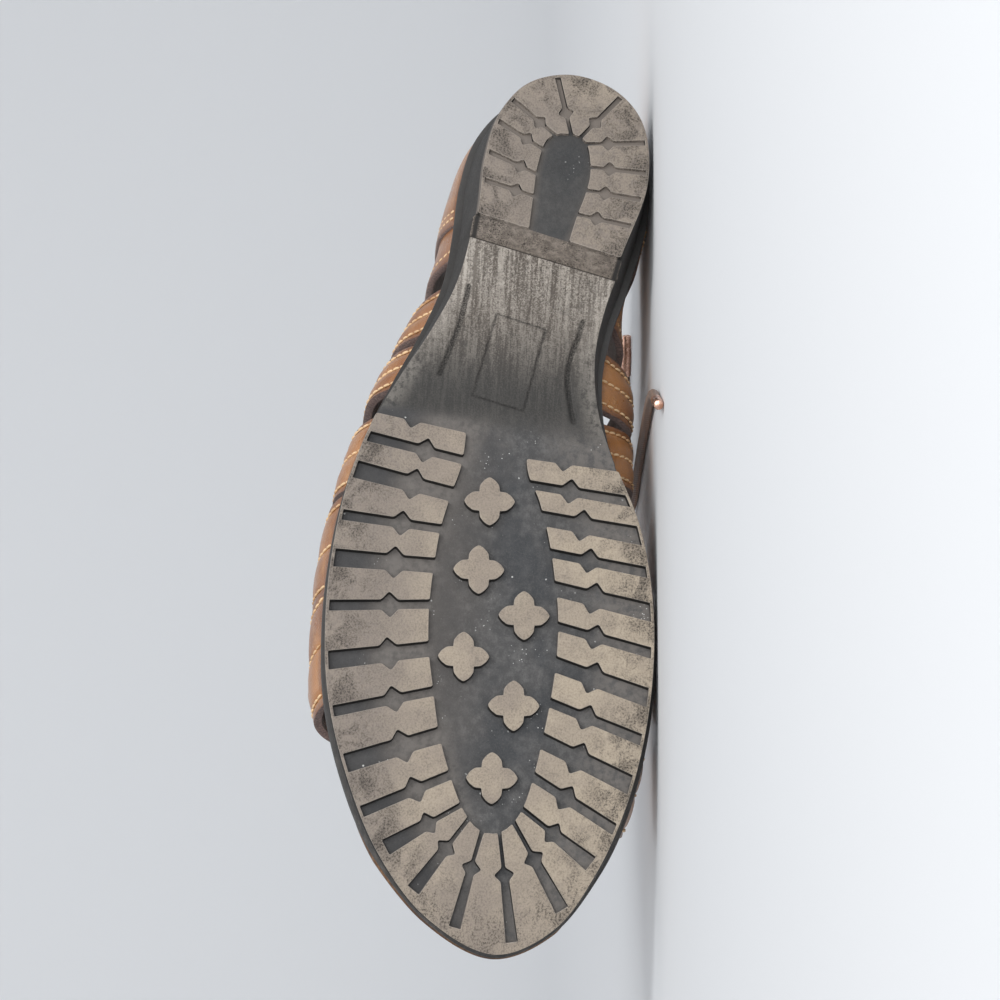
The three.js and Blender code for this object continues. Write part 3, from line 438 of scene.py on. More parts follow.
# the shoe's own form: stations from heel to toe, x and y of both edges of the tread, bottom and bed
treadLength, ballWidth, heelHeight, instepHeight = 272, 96, 30, 121
springRise = {"rise": 14, "start": 186, "power": 1.7, "bendFrom": 230, "bendOver": 32}
soleNames = ("outX", "outY", "inX", "inY", "floor", "top", "outFlare", "inFlare", "rim")
soleRows = [
    (0, -0.016, 0, -0.016, 0.07, 1, 3, 2.6, 1.6),
    (0.015, 0.12, 0.015, -0.161, 0.07, 1, 3.6, 1.8, 1.8),
    (0.055, 0.203, 0.051, -0.25, 0.07, 1, 4.2, 1.2, 2),
    (0.11, 0.238, 0.121, -0.278, 0.07, 0.99, 4.4, 1, 2),
    (0.176, 0.246, 0.213, -0.21, 0.07, 0.95, 4.4, 2.6, 2.2),
    (0.239, 0.279, 0.265, -0.173, 0.41, 0.88, 3.4, 2.6, 2),
    (0.305, 0.351, 0.324, -0.154, 0.32, 0.78, 2.6, 2.4, 1.6),
    (0.368, 0.44, 0.39, -0.175, 0.19, 0.65, 1.4, 1.8, 1.2),
    (0.423, 0.508, 0.456, -0.238, 0.07, 0.55, 0.6, 1.2, 0.9),
    (0.5, 0.573, 0.522, -0.323, 0.07, 0.49, 0.2, 0.9, 0.9),
    (0.581, 0.604, 0.588, -0.371, 0.07, 0.46, 0.1, 0.9, 0.9),
    (0.662, 0.607, 0.662, -0.394, 0.07, 0.45, 0.1, 0.9, 0.9),
    (0.746, 0.579, 0.746, -0.388, 0.07, 0.45, 0.1, 0.9, 0.9),
    (0.831, 0.5, 0.831, -0.348, 0.07, 0.44, 0.1, 0.9, 0.8),
    (0.908, 0.385, 0.908, -0.271, 0.07, 0.41, 0.1, 0.8, 0.7),
    (0.969, 0.224, 0.969, -0.161, 0.07, 0.38, 0.4, 0.8, 0.6),
    (1, 0.01, 1, 0.01, 0.07, 0.37, 0.8, 0.8, 0.6),
]
footNames = ("ridgeX", "ridgeY", "ridgeZ", "outSwell", "inSwell", "swellHeight")
footRows = [
    (0.048, -0.010, 0.876, 1.6, 1.6, 18), (0.059, -0.005, 0.926, 1.6, 0.2, 18),
    (0.088, 0.000, 0.967, 1.8, -0.6, 18), (0.132, 0.010, 0.992, 2.4, -0.8, 18),
    (0.195, 0.021, 1.000, 4.2, 0.6, 19), (0.257, 0.036, 0.992, 6.6, 6.0, 20),
    (0.320, 0.047, 0.955, 7.6, 11.5, 20), (0.382, 0.054, 0.872, 6.8, 11.0, 18),
    (0.445, 0.057, 0.769, 5.2, 7.0, 15), (0.511, 0.050, 0.661, 3.5, 1.4, 13),
    (0.581, 0.035, 0.558, 2.9, 0.6, 13), (0.654, 0.017, 0.467, 2.6, 0.5, 13),
    (0.735, 0.000, 0.401, 2.5, 0.5, 12), (0.813, -0.010, 0.364, 2.1, 0.5, 11),
    (0.875, -0.010, 0.339, 1.6, 0.7, 10), (0.919, -0.004, 0.318, 0.8, 0.6, 9),
    (0.941, 0.006, 0.306, 0.5, 0.5, 8),
]
sole = {name: np.array([row[i] for row in soleRows]) for i, name in enumerate(soleNames)}
foot = {name: np.array([row[i] for row in footRows]) for i, name in enumerate(footNames)}
toeRow, breastRow = len(soleRows) - 1, 4
leatherThick, pieceGap, swellRise, footRoundness, featherInset = 2.4, 0.3, 0.18, 2.15, 0.6


def alongRows(values, row):
    i = np.clip(np.floor(row).astype(int), 0, len(values) - 2)
    a, b, c, d = (values[np.clip(i + k, 0, len(values) - 1)] for k in (-1, 0, 1, 2))
    t, mb, mc = row - i, (c - a) / 2, (d - b) / 2
    return (((2 * (b - c) + mb + mc) * t + 3 * (c - b) - 2 * mb - mc) * t + mb) * t + b


def outlineParts():
    ring = np.array([(x * treadLength, y * ballWidth) for x, y in zip(sole["outX"], sole["outY"])]
                    + [(x * treadLength, y * ballWidth) for x, y in zip(sole["inX"], sole["inY"])][-2:0:-1])
    a, b, c, d = (np.roll(ring, k, axis=0) for k in (1, 0, -1, -2))
    m1, m2 = tangents(a, b, c, d)
    return b, m1, -3 * b + 3 * c - 2 * m1 - m2, 2 * b - 2 * c + m1 + m2


outlineCubic = outlineParts()


def soleEdge(side, row, out=0.0):
    place = (side * row) % (2 * toeRow)
    i = np.floor(place).astype(int) % (2 * toeRow)
    t = (place - np.floor(place))[..., None]
    p0, p1, p2, p3 = (part[i] for part in outlineCubic)
    point = ((p3 * t + p2) * t + p1) * t + p0
    ahead = unit((3 * p3 * t + 2 * p2) * t + p1)
    normal = np.stack([-ahead[..., 1], ahead[..., 0]], axis=-1)
    return point + normal * np.asarray(out)[..., None]


def rowAt(side, x):
    rows = np.linspace(0, toeRow, 4001)
    return float(np.interp(x, soleEdge(np.full_like(rows, side), rows)[:, 0], rows))


def toeSpring(x):
    part = np.maximum(0, (x - springRise["start"]) / (treadLength - springRise["start"]))
    return springRise["rise"] * part ** springRise["power"]


def springToe(points):  # the sole bent up at the toe, its edge square to the bent tread
    x, step = points[:, 0], 0.5
    slope = (toeSpring(x + step) - toeSpring(x - step)) / (2 * step)
    t = np.clip((x - springRise["bendFrom"]) / springRise["bendOver"], 0, 1)
    lean = slope * smoothStep(t) * points[:, 2]
    return np.column_stack([x - lean, points[:, 1], points[:, 2] + toeSpring(x)])


def bedHeight(row):
    return alongRows(sole["top"], row) * heelHeight


def flareOut(side, row):
    return np.where(side > 0, alongRows(sole["outFlare"], row), alongRows(sole["inFlare"], row))


def rimOut(side, row):
    return flareOut(side, row) + alongRows(sole["rim"], row)


def skin(around, rise):
    around, rise = np.broadcast_arrays(np.asarray(around, float), np.asarray(rise, float))
    over = rise > 1
    around, rise = np.where(over, -around, around), np.where(over, 2 - rise, rise)
    side, row = np.where(around < 0, -1.0, 1.0), np.abs(around)
    swell = np.where(side > 0, alongRows(foot["outSwell"], row), alongRows(foot["inSwell"], row))
    rim = rimOut(side, row)
    base = soleEdge(side, row, rim - featherInset - leatherThick)
    widest = soleEdge(side, row, rim + swell - leatherThick)
    baseZ = bedHeight(row) + toeSpring(base[..., 0]) + pieceGap
    widestZ = baseZ + alongRows(foot["swellHeight"], row)
    part = np.clip(rise / swellRise, 0, 1)
    low = base + (widest - base) * np.sin(part * math.pi / 2)[..., None]
    angle = np.clip((rise - swellRise) / (1 - swellRise), 0, 1) * math.pi / 2
    inward = np.maximum(0, np.cos(angle)) ** (2 / footRoundness)
    upward = np.maximum(0, np.sin(angle)) ** (2 / footRoundness)
    ridge = np.stack([alongRows(foot["ridgeX"], row) * treadLength,
                      alongRows(foot["ridgeY"], row) * ballWidth], -1)
    high = ridge + (widest - ridge) * inward[..., None]
    lowPart = (rise < swellRise)[..., None]
    z = np.where(rise < swellRise, baseZ + (widestZ - baseZ) * part,
                 widestZ + (alongRows(foot["ridgeZ"], row) * instepHeight - widestZ) * upward)
    return np.concatenate([np.where(lowPart, low, high), z[..., None]], axis=-1)


skinStep, strapReach = 0.02, 0.45  # in stations


def alongFoot(around, rise):
    return (skin(around + skinStep, rise) - skin(around - skinStep, rise)) / (2 * skinStep)


def upFoot(around, rise):
    below = np.minimum(rise, skinStep)
    return (skin(around, rise + skinStep) - skin(around, rise - below)) / (skinStep + below)[..., None]


def skinAt(around, rise, lift):
    around, rise = np.broadcast_arrays(np.asarray(around, float), np.asarray(rise, float))
    out = unit(np.cross(upFoot(around, rise), alongFoot(around, rise)))
    out[..., 2] *= smoothStep(np.clip(np.minimum(rise, 2 - rise) / swellRise, 0, 1))
    return skin(around, rise) + unit(out) * np.asarray(lift)[..., None]


def riseAt(around, height):
    rises = np.linspace(0, 1, 801)
    z = skin(np.full_like(rises, around), rises)[:, 2]
    return float(np.interp(height, z - z[0], rises))


def wideBy(around, rise, width):  # millimetres along the foot to stations, evened over a strap
    span = skin(around + strapReach, rise) - skin(around - strapReach, rise)
    return width * 2 * strapReach / sizeOf(span)


def tallBy(around, rise, width):
    return width / sizeOf(upFoot(around, rise))


def lerp(a, b, t):
    return a + (b - a) * t


# where each leather piece lies on the foot: s runs along it and w across it, both 0 to 1
eyestay = {"frontX": 153, "backX": 92, "rise": 0.8, "width": 15}
collarHeight = {"back": 62, "side": 52}
collarBand = {"startX": 46, "startHeight": 45, "width": 13}
laceHoles = {"count": 4, "frontX": 146, "backX": 99, "radius": 2.4, "sides": 24, "through": (-4.0, 8.0)}


def sideStrapPlace(side, footX, footWidth, topX, topWidth):
    low, high = rowAt(side, footX), rowAt(side, topX)

    def place(s, w):
        rise = s * eyestay["rise"]
        around = side * lerp(low, high, s)
        return around + (w - 0.5) * wideBy(around, rise, lerp(footWidth, topWidth, s)), rise
    return place


def vampBandPlace(inX, inWidth, outX, outWidth, topX, topWidth):
    rows = [rowAt(-1, inX), rowAt(1, topX), rowAt(1, outX)]

    def bend(a, b, c, s):
        return np.where(s < 0.5, lerp(a, b, 2 * s), lerp(b, c, 2 * s - 1))

    def place(s, w):
        around = -bend(*rows, s)
        return around + (w - 0.5) * wideBy(around, 2 * s, bend(inWidth, topWidth, outWidth, s)), 2 * s
    return place


def counterPlace(outX, inX, lean, drop):
    inner, outer = -rowAt(-1, inX), rowAt(1, outX)
    flats = np.linspace(inner, outer, 81)
    tops = np.array([riseAt(flat, lerp(collarHeight["back"], collarHeight["side"],
                                       min(1, abs(flat) / breastRow)) - drop) for flat in flats])

    def place(s, w):
        flat = lerp(inner, outer, s)
        return flat * (1 + lean * w / breastRow), w * np.interp(flat, flats, tops)
    return place


def eyestayPlace(side):
    front, back = rowAt(side, eyestay["frontX"]), rowAt(side, eyestay["backX"])

    def place(s, w):
        around = side * lerp(front, back, s)
        rise = np.full_like(around, eyestay["rise"])
        return around, rise + (w - 0.5) * tallBy(around, rise, eyestay["width"])
    return place


def collarPlace(side):
    start, end = rowAt(side, collarBand["startX"]), rowAt(side, eyestay["backX"])
    startRise = riseAt(side * start, collarBand["startHeight"])

    def place(s, w):
        around = side * lerp(start, end, s)
        rise = lerp(startRise, eyestay["rise"], s * s)
        return around, rise + (w - 0.5) * tallBy(around, rise, collarBand["width"])
    return place


# leather pieces: name, place, height of the inner face over the foot, steps, stitch rows as parts across
leatherPieces = [
    ("counter", counterPlace(53, 68, 0.5, 0), -0.2, (120, 60), ()),
    ("heel_panel", counterPlace(41, 43, 0, 5), 1.0, (96, 52), ()),
    ("strap_outer_back", sideStrapPlace(1, 72, 18, 97, 15), 0.0, (88, 40), (0.13, 0.5, 0.87)),
    ("strap_outer_middle", sideStrapPlace(1, 92, 18, 115, 15), 0.0, (88, 40), (0.13, 0.5, 0.87)),
    ("strap_outer_front", sideStrapPlace(1, 121, 26, 136, 19), 0.0, (88, 52), (0.1, 0.5, 0.9)),
    ("strap_inner_back", sideStrapPlace(-1, 89, 21, 100, 15), 0.0, (88, 44), (0.12, 0.5, 0.88)),
    ("strap_inner_middle", sideStrapPlace(-1, 115, 21, 119, 16), 0.0, (88, 44), (0.12, 0.5, 0.88)),
    ("strap_inner_front", sideStrapPlace(-1, 145, 29, 139, 19), 0.0, (88, 56), (0.1, 0.5, 0.9)),
    ("vamp_band_back", vampBandPlace(182, 32, 152, 32, 166, 25), 0.3, (190, 60), (0.09, 0.5, 0.91)),
    ("vamp_band_front", vampBandPlace(220, 27, 183, 36, 203, 25), 0.3, (190, 60), (0.09, 0.5, 0.91)),
    ("eyestay_outer", eyestayPlace(1), 1.3, (80, 32), (0.13, 0.87)),
    ("eyestay_inner", eyestayPlace(-1), 1.3, (80, 32), (0.13, 0.87)),
    ("collar_outer", collarPlace(1), 0.9, (76, 28), (0.15, 0.85)),
    ("collar_inner", collarPlace(-1), 0.9, (76, 28), (0.15, 0.85)),
]
leatherEdge = {"round": 0.00055, "droop": 0.45, "droopReach": 2.2, "wobble": 0.22, "wobbleReach": 1.2,
               "wobbleSize": 6, "swell": 0.16, "swellSize": 17}
seamForm = {"depth": 0.5, "half": 1.0, "cushion": 0.3, "full": 3.0, "pucker": 0.09, "pitch": 2.95}
creaseForm = {"ends": 0.06, "fade": 0.6, "ridge": 0.45}
# creases from wear: from and to as millimetres along and parts across a piece, depth and half width
creases = {
    "vamp_band_back": [((58, 0.16), (84, 0.30), 0.55, 1.5), ((66, 0.62), (96, 0.74), 0.5, 1.4),
                       ((28, 0.25), (44, 0.20), 0.45, 1.3), ((108, 0.35), (126, 0.28), 0.45, 1.3)],
    "vamp_band_front": [((40, 0.30), (70, 0.22), 0.55, 1.5), ((62, 0.70), (88, 0.64), 0.5, 1.4),
                        ((92, 0.28), (112, 0.36), 0.45, 1.3)],
    "strap_outer_front": [((12, 0.30), (30, 0.24), 0.4, 1.2), ((26, 0.70), (46, 0.76), 0.4, 1.2)],
    "strap_inner_front": [((14, 0.72), (34, 0.66), 0.4, 1.2), ((30, 0.28), (50, 0.32), 0.4, 1.2)],
    "strap_outer_middle": [((18, 0.28), (36, 0.34), 0.35, 1.1)],
    "strap_inner_middle": [((16, 0.30), (34, 0.24), 0.35, 1.1)],
    "counter": [((34, 0.62), (50, 0.70), 0.5, 1.6), ((88, 0.64), (104, 0.56), 0.5, 1.6),
                ((60, 0.78), (78, 0.80), 0.45, 1.5)],
    "collar_outer": [((16, 0.40), (26, 0.66), 0.35, 1.1)],
    "collar_inner": [((14, 0.62), (24, 0.36), 0.35, 1.1)],
}


waves = {"count": 5, "least": 0.7, "most": 1.4, "phase": 6.3}


def softNoise(points, size, seed):  # a few crossed waves, the same each run
    generator = np.random.default_rng(seed)
    total = np.zeros(len(points))
    for _ in range(waves["count"]):
        direction = unit(generator.normal(size=3))
        wave = 2 * math.pi / (size * generator.uniform(waves["least"], waves["most"]))
        total += np.sin(points @ direction * wave + generator.uniform(0, waves["phase"]))
    return total / waves["count"]


def seamRelief(seams, run, w, width):  # leather drawn in along its stitches and full between them
    if not seams:
        return np.zeros_like(w)
    gap = np.min([np.abs(w - part) * width for part in seams], axis=0)
    beat = np.cos(2 * math.pi * run / seamForm["pitch"])
    drawn = np.exp(-(gap / seamForm["half"]) ** 2)
    cushion = seamForm["cushion"] * (1 - np.exp(-(gap / seamForm["full"]) ** 2))
    return cushion - drawn * (seamForm["depth"] + seamForm["pucker"] * beat)


def creaseRelief(lines, run, across, width):  # soft troughs with a low ridge on either side
    total = np.zeros_like(run)
    for start, end, depth, half in lines:
        a = np.column_stack([np.full_like(width, start[0]), start[1] * width])
        b = np.column_stack([np.full_like(width, end[0]), end[1] * width])
        here, way = np.column_stack([run, across]) - a, b - a
        t = np.clip(np.sum(here * way, axis=1) / np.sum(way * way, axis=1), 0, 1)
        gap = sizeOf(here - way * t[:, None])
        within = np.clip(t, creaseForm["ends"], 1 - creaseForm["ends"])
        fade = np.sin(within * math.pi) ** creaseForm["fade"]
        ridge = creaseForm["ridge"] * np.exp(-((gap - 2 * half) / half) ** 2)
        total += fade * depth * (ridge - np.exp(-(gap / half) ** 2))
    return total


def sheetSize(place, s, w):  # millimetres along and across a leather piece at each of its points
    step = 0.01
    after, before = np.minimum(s + step, 1), np.maximum(s - step, 0)
    length = sizeOf(skin(*place(after, w)) - skin(*place(before, w))) / (after - before)
    above, below = np.minimum(w + step, 1), np.maximum(w - step, 0)
    width = sizeOf(skin(*place(s, above)) - skin(*place(s, below))) / (above - below)
    return length, width


def faceOut(piece, place):  # the front of a sheet turned away from the foot
    middle = place(np.array([0.5]), np.array([0.5]))
    centre, outside = toWorld(skin(*middle))[0], toWorld(skinAt(*middle, np.array([5.0])))[0]
    face = min(piece.data.polygons, key=lambda face: (face.center - Vector(centre)).length)
    if face.normal.dot(Vector(outside - centre)) < 0:
        editPiece(piece, (bpy.ops.mesh.flip_normals, {}))


def makeSheet(name, place, inner, steps, seams):
    deselectAll()
    bpy.ops.mesh.primitive_grid_add(x_subdivisions=steps[0], y_subdivisions=steps[1], size=1)
    piece = bpy.context.object
    piece.name = piece.data.name = name
    grid = pointArray(piece)
    s, w = grid[:, 0] + 0.5, grid[:, 1] + 0.5
    flat = skinAt(*place(s, w), inner)
    length, width = sheetSize(place, s, w)
    crossGap, endGap = np.minimum(w, 1 - w) * width, np.minimum(s, 1 - s) * length
    lift = inner + leatherThick - leatherEdge["droop"] * np.exp(-crossGap / leatherEdge["droopReach"])
    lift = lift + leatherEdge["swell"] * softNoise(flat, leatherEdge["swellSize"], 3)
    lift = lift + seamRelief(seams, s * length, w, width)
    lift = lift + creaseRelief(creases.get(name, ()), s * length, w * width, width)
    wave = leatherEdge["wobble"] * softNoise(flat, leatherEdge["wobbleSize"], 11)
    wave = wave * np.exp(-crossGap / leatherEdge["wobbleReach"])
    around, rise = place(s, w + np.where(w < 0.5, -wave, wave) / width)
    placePoints(piece, toWorld(skinAt(around, np.clip(rise, 0, 2), lift)))
    storeValues(piece, "edgeGap", np.minimum(crossGap, endGap))
    faceOut(piece, place)
    for material in (strapLeather, suedeBack, rawEdge):
        piece.data.materials.append(material)
    applyModifier(piece, "SOLIDIFY", thickness=leatherThick / 1000, offset=-1, use_even_offset=False,
                  material_offset=1, material_offset_rim=2)
    applyModifier(piece, "BEVEL", width=leatherEdge["round"], segments=2, limit_method="ANGLE",
                  angle_limit=math.radians(55), use_clamp_overlap=True)
    smoothPiece(piece, 70)
    return piece


def makeStrapLeather():
    hide = Look("strapLeather", {"light": (0.50, 0.222, 0.070), "deep": (0.255, 0.096, 0.030),
                                 "burnt": (0.130, 0.046, 0.020), "pale": (0.70, 0.44, 0.22)})
    ramp, noise, both = hide.ramp, hide.noise, hide.both
    pull, fine = noise(34, 5, 0.6, 0.8), noise(210, 6, 0.65)
    burnish = both(ramp(hide.stored("edgeGap"), 0.4, 3.4, 0.75, 0.0), ramp(fine, 0.25, 0.7, 0.55, 1.0))
    scuff = noise(300, 6, 0.7, at=hide.scaled((1, 3.4, 1)))
    pits = both(ramp(hide.cells(520), 0.05, 0.16, 1.0, 0.0), ramp(noise(60, 2), 0.5, 0.62))
    colour = hide.stack("deep", (ramp(pull, 0.28, 0.74), "light"),
                        (ramp(fine, 0.52, 0.80, 0.0, 0.35), "pale"), (burnish, "burnt"),
                        (ramp(scuff, 0.66, 0.74, 0.0, 0.6), "pale"),
                        (both(pits, 0.5), "burnt"))
    grain = hide.add(ramp(hide.cells(950, "DISTANCE_TO_EDGE"), 0.0, 0.32), both(fine, 0.6))
    wrinkle = noise(150, 3, 0.5, 1.2, hide.scaled((1, 1, 2.2)))
    return hide.finish({"Base Color": colour, "Roughness": ramp(noise(90, 4), 0.3, 0.75, 0.27, 0.46),
                        "Coat Weight": 0.38, "Coat Roughness": 0.22,
                        "Normal": hide.bump(wrinkle, 0.28, 0.0007, hide.bump(grain, 0.32, 0.00022))})


def makeSuede(name, dark, light, scale):
    suede = Look(name, {"dark": dark, "light": light})
    nap, blotch = suede.noise(scale, 6, 0.7), suede.noise(70, 3)
    factor = suede.both(suede.ramp(nap, 0.3, 0.72), suede.ramp(blotch, 0.2, 0.8, 0.45, 1.0))
    return suede.finish({"Base Color": suede.stack("dark", (factor, "light")), "Roughness": 0.92,
                         "Sheen Weight": 0.25, "Sheen Roughness": 0.5,
                         "Normal": suede.bump(nap, 0.8, 0.0004)})


strapLeather = makeStrapLeather()
suedeBack = makeSuede("suedeBack", (0.060, 0.030, 0.020), (0.20, 0.115, 0.070), 1100)
rawEdge = makeSuede("rawEdge", (0.085, 0.047, 0.040), (0.36, 0.235, 0.195), 1300)


# punched holes through eyestays and what lies under them
def holeRow(side, number):
    return rowAt(side, lerp(laceHoles["frontX"], laceHoles["backX"], number / (laceHoles["count"] - 1)))


def holeCutter():
    pins = []
    for side in (1, -1):
        for number in range(laceHoles["count"]):
            around = np.full(2, side * holeRow(side, number))
            low, high = toWorld(skinAt(around, np.full(2, eyestay["rise"]), laceHoles["through"]))
            axis = Vector(high - low)
            deselectAll()
            bpy.ops.mesh.primitive_cylinder_add(
                vertices=laceHoles["sides"], radius=laceHoles["radius"] / 1000, depth=axis.length,
                location=(low + high) / 2, rotation=axis.to_track_quat("Z", "Y").to_euler())
            pins.append(bpy.context.object)
    makeActive(*pins)
    bpy.ops.object.transform_apply(location=True, rotation=True, scale=True)
    return joinPieces(pins, "holePins")


def punchHoles(piece, cutter):
    whole, leastKept = piece.data.copy(), 0.6
    for solver in ("EXACT", "FAST"):
        applyModifier(piece, "BOOLEAN", operation="DIFFERENCE", object=cutter, solver=solver)
        if len(piece.data.polygons) > leastKept * len(whole.polygons):
            break
        piece.data = whole.copy()
    smoothPiece(piece, 70)


def makeUpper():
    cutter = holeCutter()
    for name, place, inner, steps, seams in leatherPieces:
        piece = makeSheet(name, place, inner, steps, seams)
        if name.startswith(("eyestay", "strap", "collar")):
            punchHoles(piece, cutter)
        finishPiece(piece, "strap_leather", "upper")
    bpy.data.objects.remove(cutter, do_unlink=True)
    print("upper made:", len(leatherPieces), "leather pieces")


makeUpper()

# stitches: rows of short cream threads on the leather
stitch = {"pitch": seamForm["pitch"], "length": 2.7, "radius": 0.43, "sink": 0.32, "tilt": 4.0,
          "stray": 2.5, "least": 0.92, "most": 1.06, "blunt": 0.7, "arch": 0.55, "lower": 0.25}


def stitchModel():
    deselectAll()
    bpy.ops.mesh.primitive_uv_sphere_add(segments=6, ring_count=5, radius=1)
    model = bpy.context.object
    points = pointArray(model)
    faces = [tuple(face.vertices) for face in model.data.polygons]
    bpy.data.objects.remove(model, do_unlink=True)
    reach = np.sign(points[:, 2]) * np.abs(points[:, 2]) ** stitch["blunt"]
    bow = stitch["arch"] * (1 - reach**2) - stitch["lower"]  # the thread arches between its two holes
    return np.stack([reach * stitch["length"] / 2, points[:, 0] * stitch["radius"],
                     (points[:, 1] + bow) * stitch["radius"]], axis=1), faces


def stitchRow(place, inner, s, w):  # centre, direction and normal of each stitch on a line of s and w
    around, rise = place(s, w)
    lift, near = inner + leatherThick - stitch["sink"], 0.4
    path, over = (skinAt(around, np.clip(rise, 0, 2), height) for height in (lift, lift + 1.0))
    run = runAlong(path)
    count = int(run[-1] / stitch["pitch"])
    at = (np.arange(count) + 0.5) * run[-1] / max(count, 1)
    ahead = pointsAt(at + near, run, path) - pointsAt(at - near, run, path)
    return pointsAt(at, run, path), ahead, pointsAt(at, run, over - path)


def stitchLines():  # place, height, s and w of every row of stitches
    t = np.linspace(0.012, 0.988, 220)
    along = {"counter": (0.955,), "heel_panel": (0.95, 0.905)}
    across = {"counter": ((0.022, 0.978), t * 0.95), "heel_panel": ((0.022, 0.04, 0.96, 0.978), t * 0.9)}
    across["eyestay_outer"] = across["eyestay_inner"] = (0.03, 0.97), lerp(0.14, 0.86, t)
    for name, place, inner, _, rows in leatherPieces:
        for part in rows + along.get(name, ()):
            yield place, inner, t, np.full_like(t, part)
        parts, cross = across.get(name, ((), t))
        for part in parts:
            yield place, inner, np.full_like(t, part), cross


def makeStitches():
    points, faces = stitchModel()
    generator = np.random.default_rng(5)
    allPoints, allFaces, base = [], [], 0
    for line in stitchLines():
        for centre, ahead, normal in zip(*stitchRow(*line)):
            ahead = unit(ahead)
            normal = unit(normal - ahead * (normal @ ahead))
            side = np.cross(normal, ahead)
            turn = math.radians(stitch["tilt"] + generator.normal() * stitch["stray"])
            forward = ahead * math.cos(turn) + side * math.sin(turn)
            across = np.cross(normal, forward)
            size = generator.uniform(stitch["least"], stitch["most"])
            allPoints.append(centre + (points * size) @ np.array([forward, across, normal]))
            allFaces += [tuple(base + v for v in face) for face in faces]
            base += len(points)
    piece = meshPiece("stitch_thread", toWorld(np.vstack(allPoints)), allFaces)
    smoothPiece(piece, 80)
    thread = Look("creamThread", {"clean": (0.84, 0.60, 0.35), "soiled": (0.50, 0.28, 0.13)})
    dirt = thread.ramp(thread.noise(95, 4), 0.42, 0.72)
    piece.data.materials.append(thread.finish({
        "Base Color": thread.stack("clean", (dirt, "soiled")), "Roughness": 0.7,
        "Normal": thread.bump(thread.noise(4200, 2), 0.5, 0.0001)}))
    finishPiece(piece, "strap_leather")
    print("stitches made:", len(allPoints))


makeStitches()


# lace between the eyestays, each run going down through its holes
laceRun = {"lift": 4.8, "over": 1.2, "under": -0.35, "points": 13, "dips": (0.2, 3.0)}


def makeCrossings():
    last = laceHoles["count"] - 1
    runs = [(0, 0)] + [pair for i in range(last) for pair in ((i, i + 1), (i + 1, i))] + [(last, last)]
    t = np.linspace(0, 1, laceRun["points"])
    rise = lerp(eyestay["rise"], 2 - eyestay["rise"], t)
    pieces = []
    for number, (fromHole, toHole) in enumerate(runs):
        start, end = holeRow(1, fromHole), holeRow(-1, toHole)
        over = laceRun["over"] * np.sin(math.pi * t) * (1 if number % 2 else laceRun["under"])
        bow = skinAt(lerp(start, end, t), rise, laceRun["lift"] + over)
        down, up = (skinAt(np.full(2, around), np.full(2, eyestay["rise"]), laceRun["dips"])
                    for around in (start, -end))
        path = np.vstack([down, bow[1:-1], up[::-1]])
        pieces.append(cordTube("lace_run_%d" % number, toWorld(path), laceCord["radius"])[0])
    piece = joinPieces(pieces, "lace_crossings_tied")
    piece.data.materials.append(laceMaterial)
    finishPiece(piece, "lace_cord", "lace_crossings")
    print("lace crossings made")


makeCrossings()


# outsole: a smooth body with the shank's sunk lines, and plates of lugs and studs standing on its floor
breastSlope, treadRow = 0.2, 8
bottomLean = {"tread": 0.15, "shank": 0.3}
treadForm = {"heelFloor": 1.4, "rim": 0.45, "corner": 0.5, "cut": 3.0, "overrun": 5.0, "rimHeight": 5.0,
             "edge": [(0.0, 0.0), (0.12, 0.03), (0.24, 0.16), (0.29, 0.42), (0.33, 2.3)]}
# side grooves: where they leave the outer and inner edge, where they reach the recess, and how wide
sideGrooves = [
    (122.3, 127.2, 134.7, 133.1, 3.5), (133.0, 138.2, 145.3, 143.2, 5.6), (147.6, 149.3, 156.5, 153.7, 3.5),
    (161.1, 160.8, 168.8, 164.6, 5.6), (175.9, 172.8, 181.3, 176.0, 3.5), (192.6, 186.5, 194.9, 187.7, 5.6),
    (207.6, 198.9, 207.6, 199.2, 3.5), (222.4, 211.6, 221.0, 210.6, 5.6), (235.8, 222.9, 234.2, 221.4, 3.5),
]
toeFan = {"x": 225, "y": 5.5, "inner": 10, "count": 6, "first": 56, "step": -22.6, "width": 2.6,
          "widen": 0.022, "rim": 2.4, "edgeRim": 1.3, "at": 0.56, "reach": 2.0, "spread": 1.5,
          "edgeTaper": 1.36, "innerTaper": 0.5}
notchTip = 0.35  # half of the blunt tip of a diamond
diamond = {"at": 0.6, "reach": 2.6, "spread": 2.25, "edgeTaper": 1.08, "innerTaper": 0.92}
recessRows = np.array([
    (108.0, 22.0, 3.0), (127.0, 22.5, 3.0), (138.0, 25.0, -1.5), (149.0, 27.3, -5.0), (161.0, 28.4, -7.6),
    (173.0, 28.8, -9.5), (185.8, 28.0, -9.9), (198.2, 25.7, -9.1), (210.6, 23.0, -7.6), (222.0, 19.0, -5.8),
    (231.4, 14.6, -3.2), (236.6, 10.6, 0.4), (238.6, 7.0, 4.0)])
plateRear = {1: (115.2, 118.3), -1: (126.6, 125.2)}  # x at the edge of the sole and at the recess
studPlaces = [
    (139.4, 13.4), (160.8, 15.0), (173.6, 0.7), (187.7, 17.4), (201.0, 1.7), (222.6, 6.3)]
petal = {"turn": -4, "half": [(0, 7.4), (12.8, 6.6), (28.4, 5.6)], "notch": 4.0}
heelGrooves = [
    (1.5, 2.7, 19.9, -2.7), (6.5, -16.2, 20.5, -5.2), (10.0, 15.8, 20.8, 1.5), (17.7, 19.2, 25.5, 5.2),
    (28.0, 21.2, 33.9, 5.9), (37.2, 22.0, 41.0, 6.8), (20.0, -24.6, 22.2, -6.8), (29.8, -25.4, 29.6, -8.0),
    (38.6, -24.2, 37.2, -7.4), (47.5, -21.4, 45.4, -5.8),
]
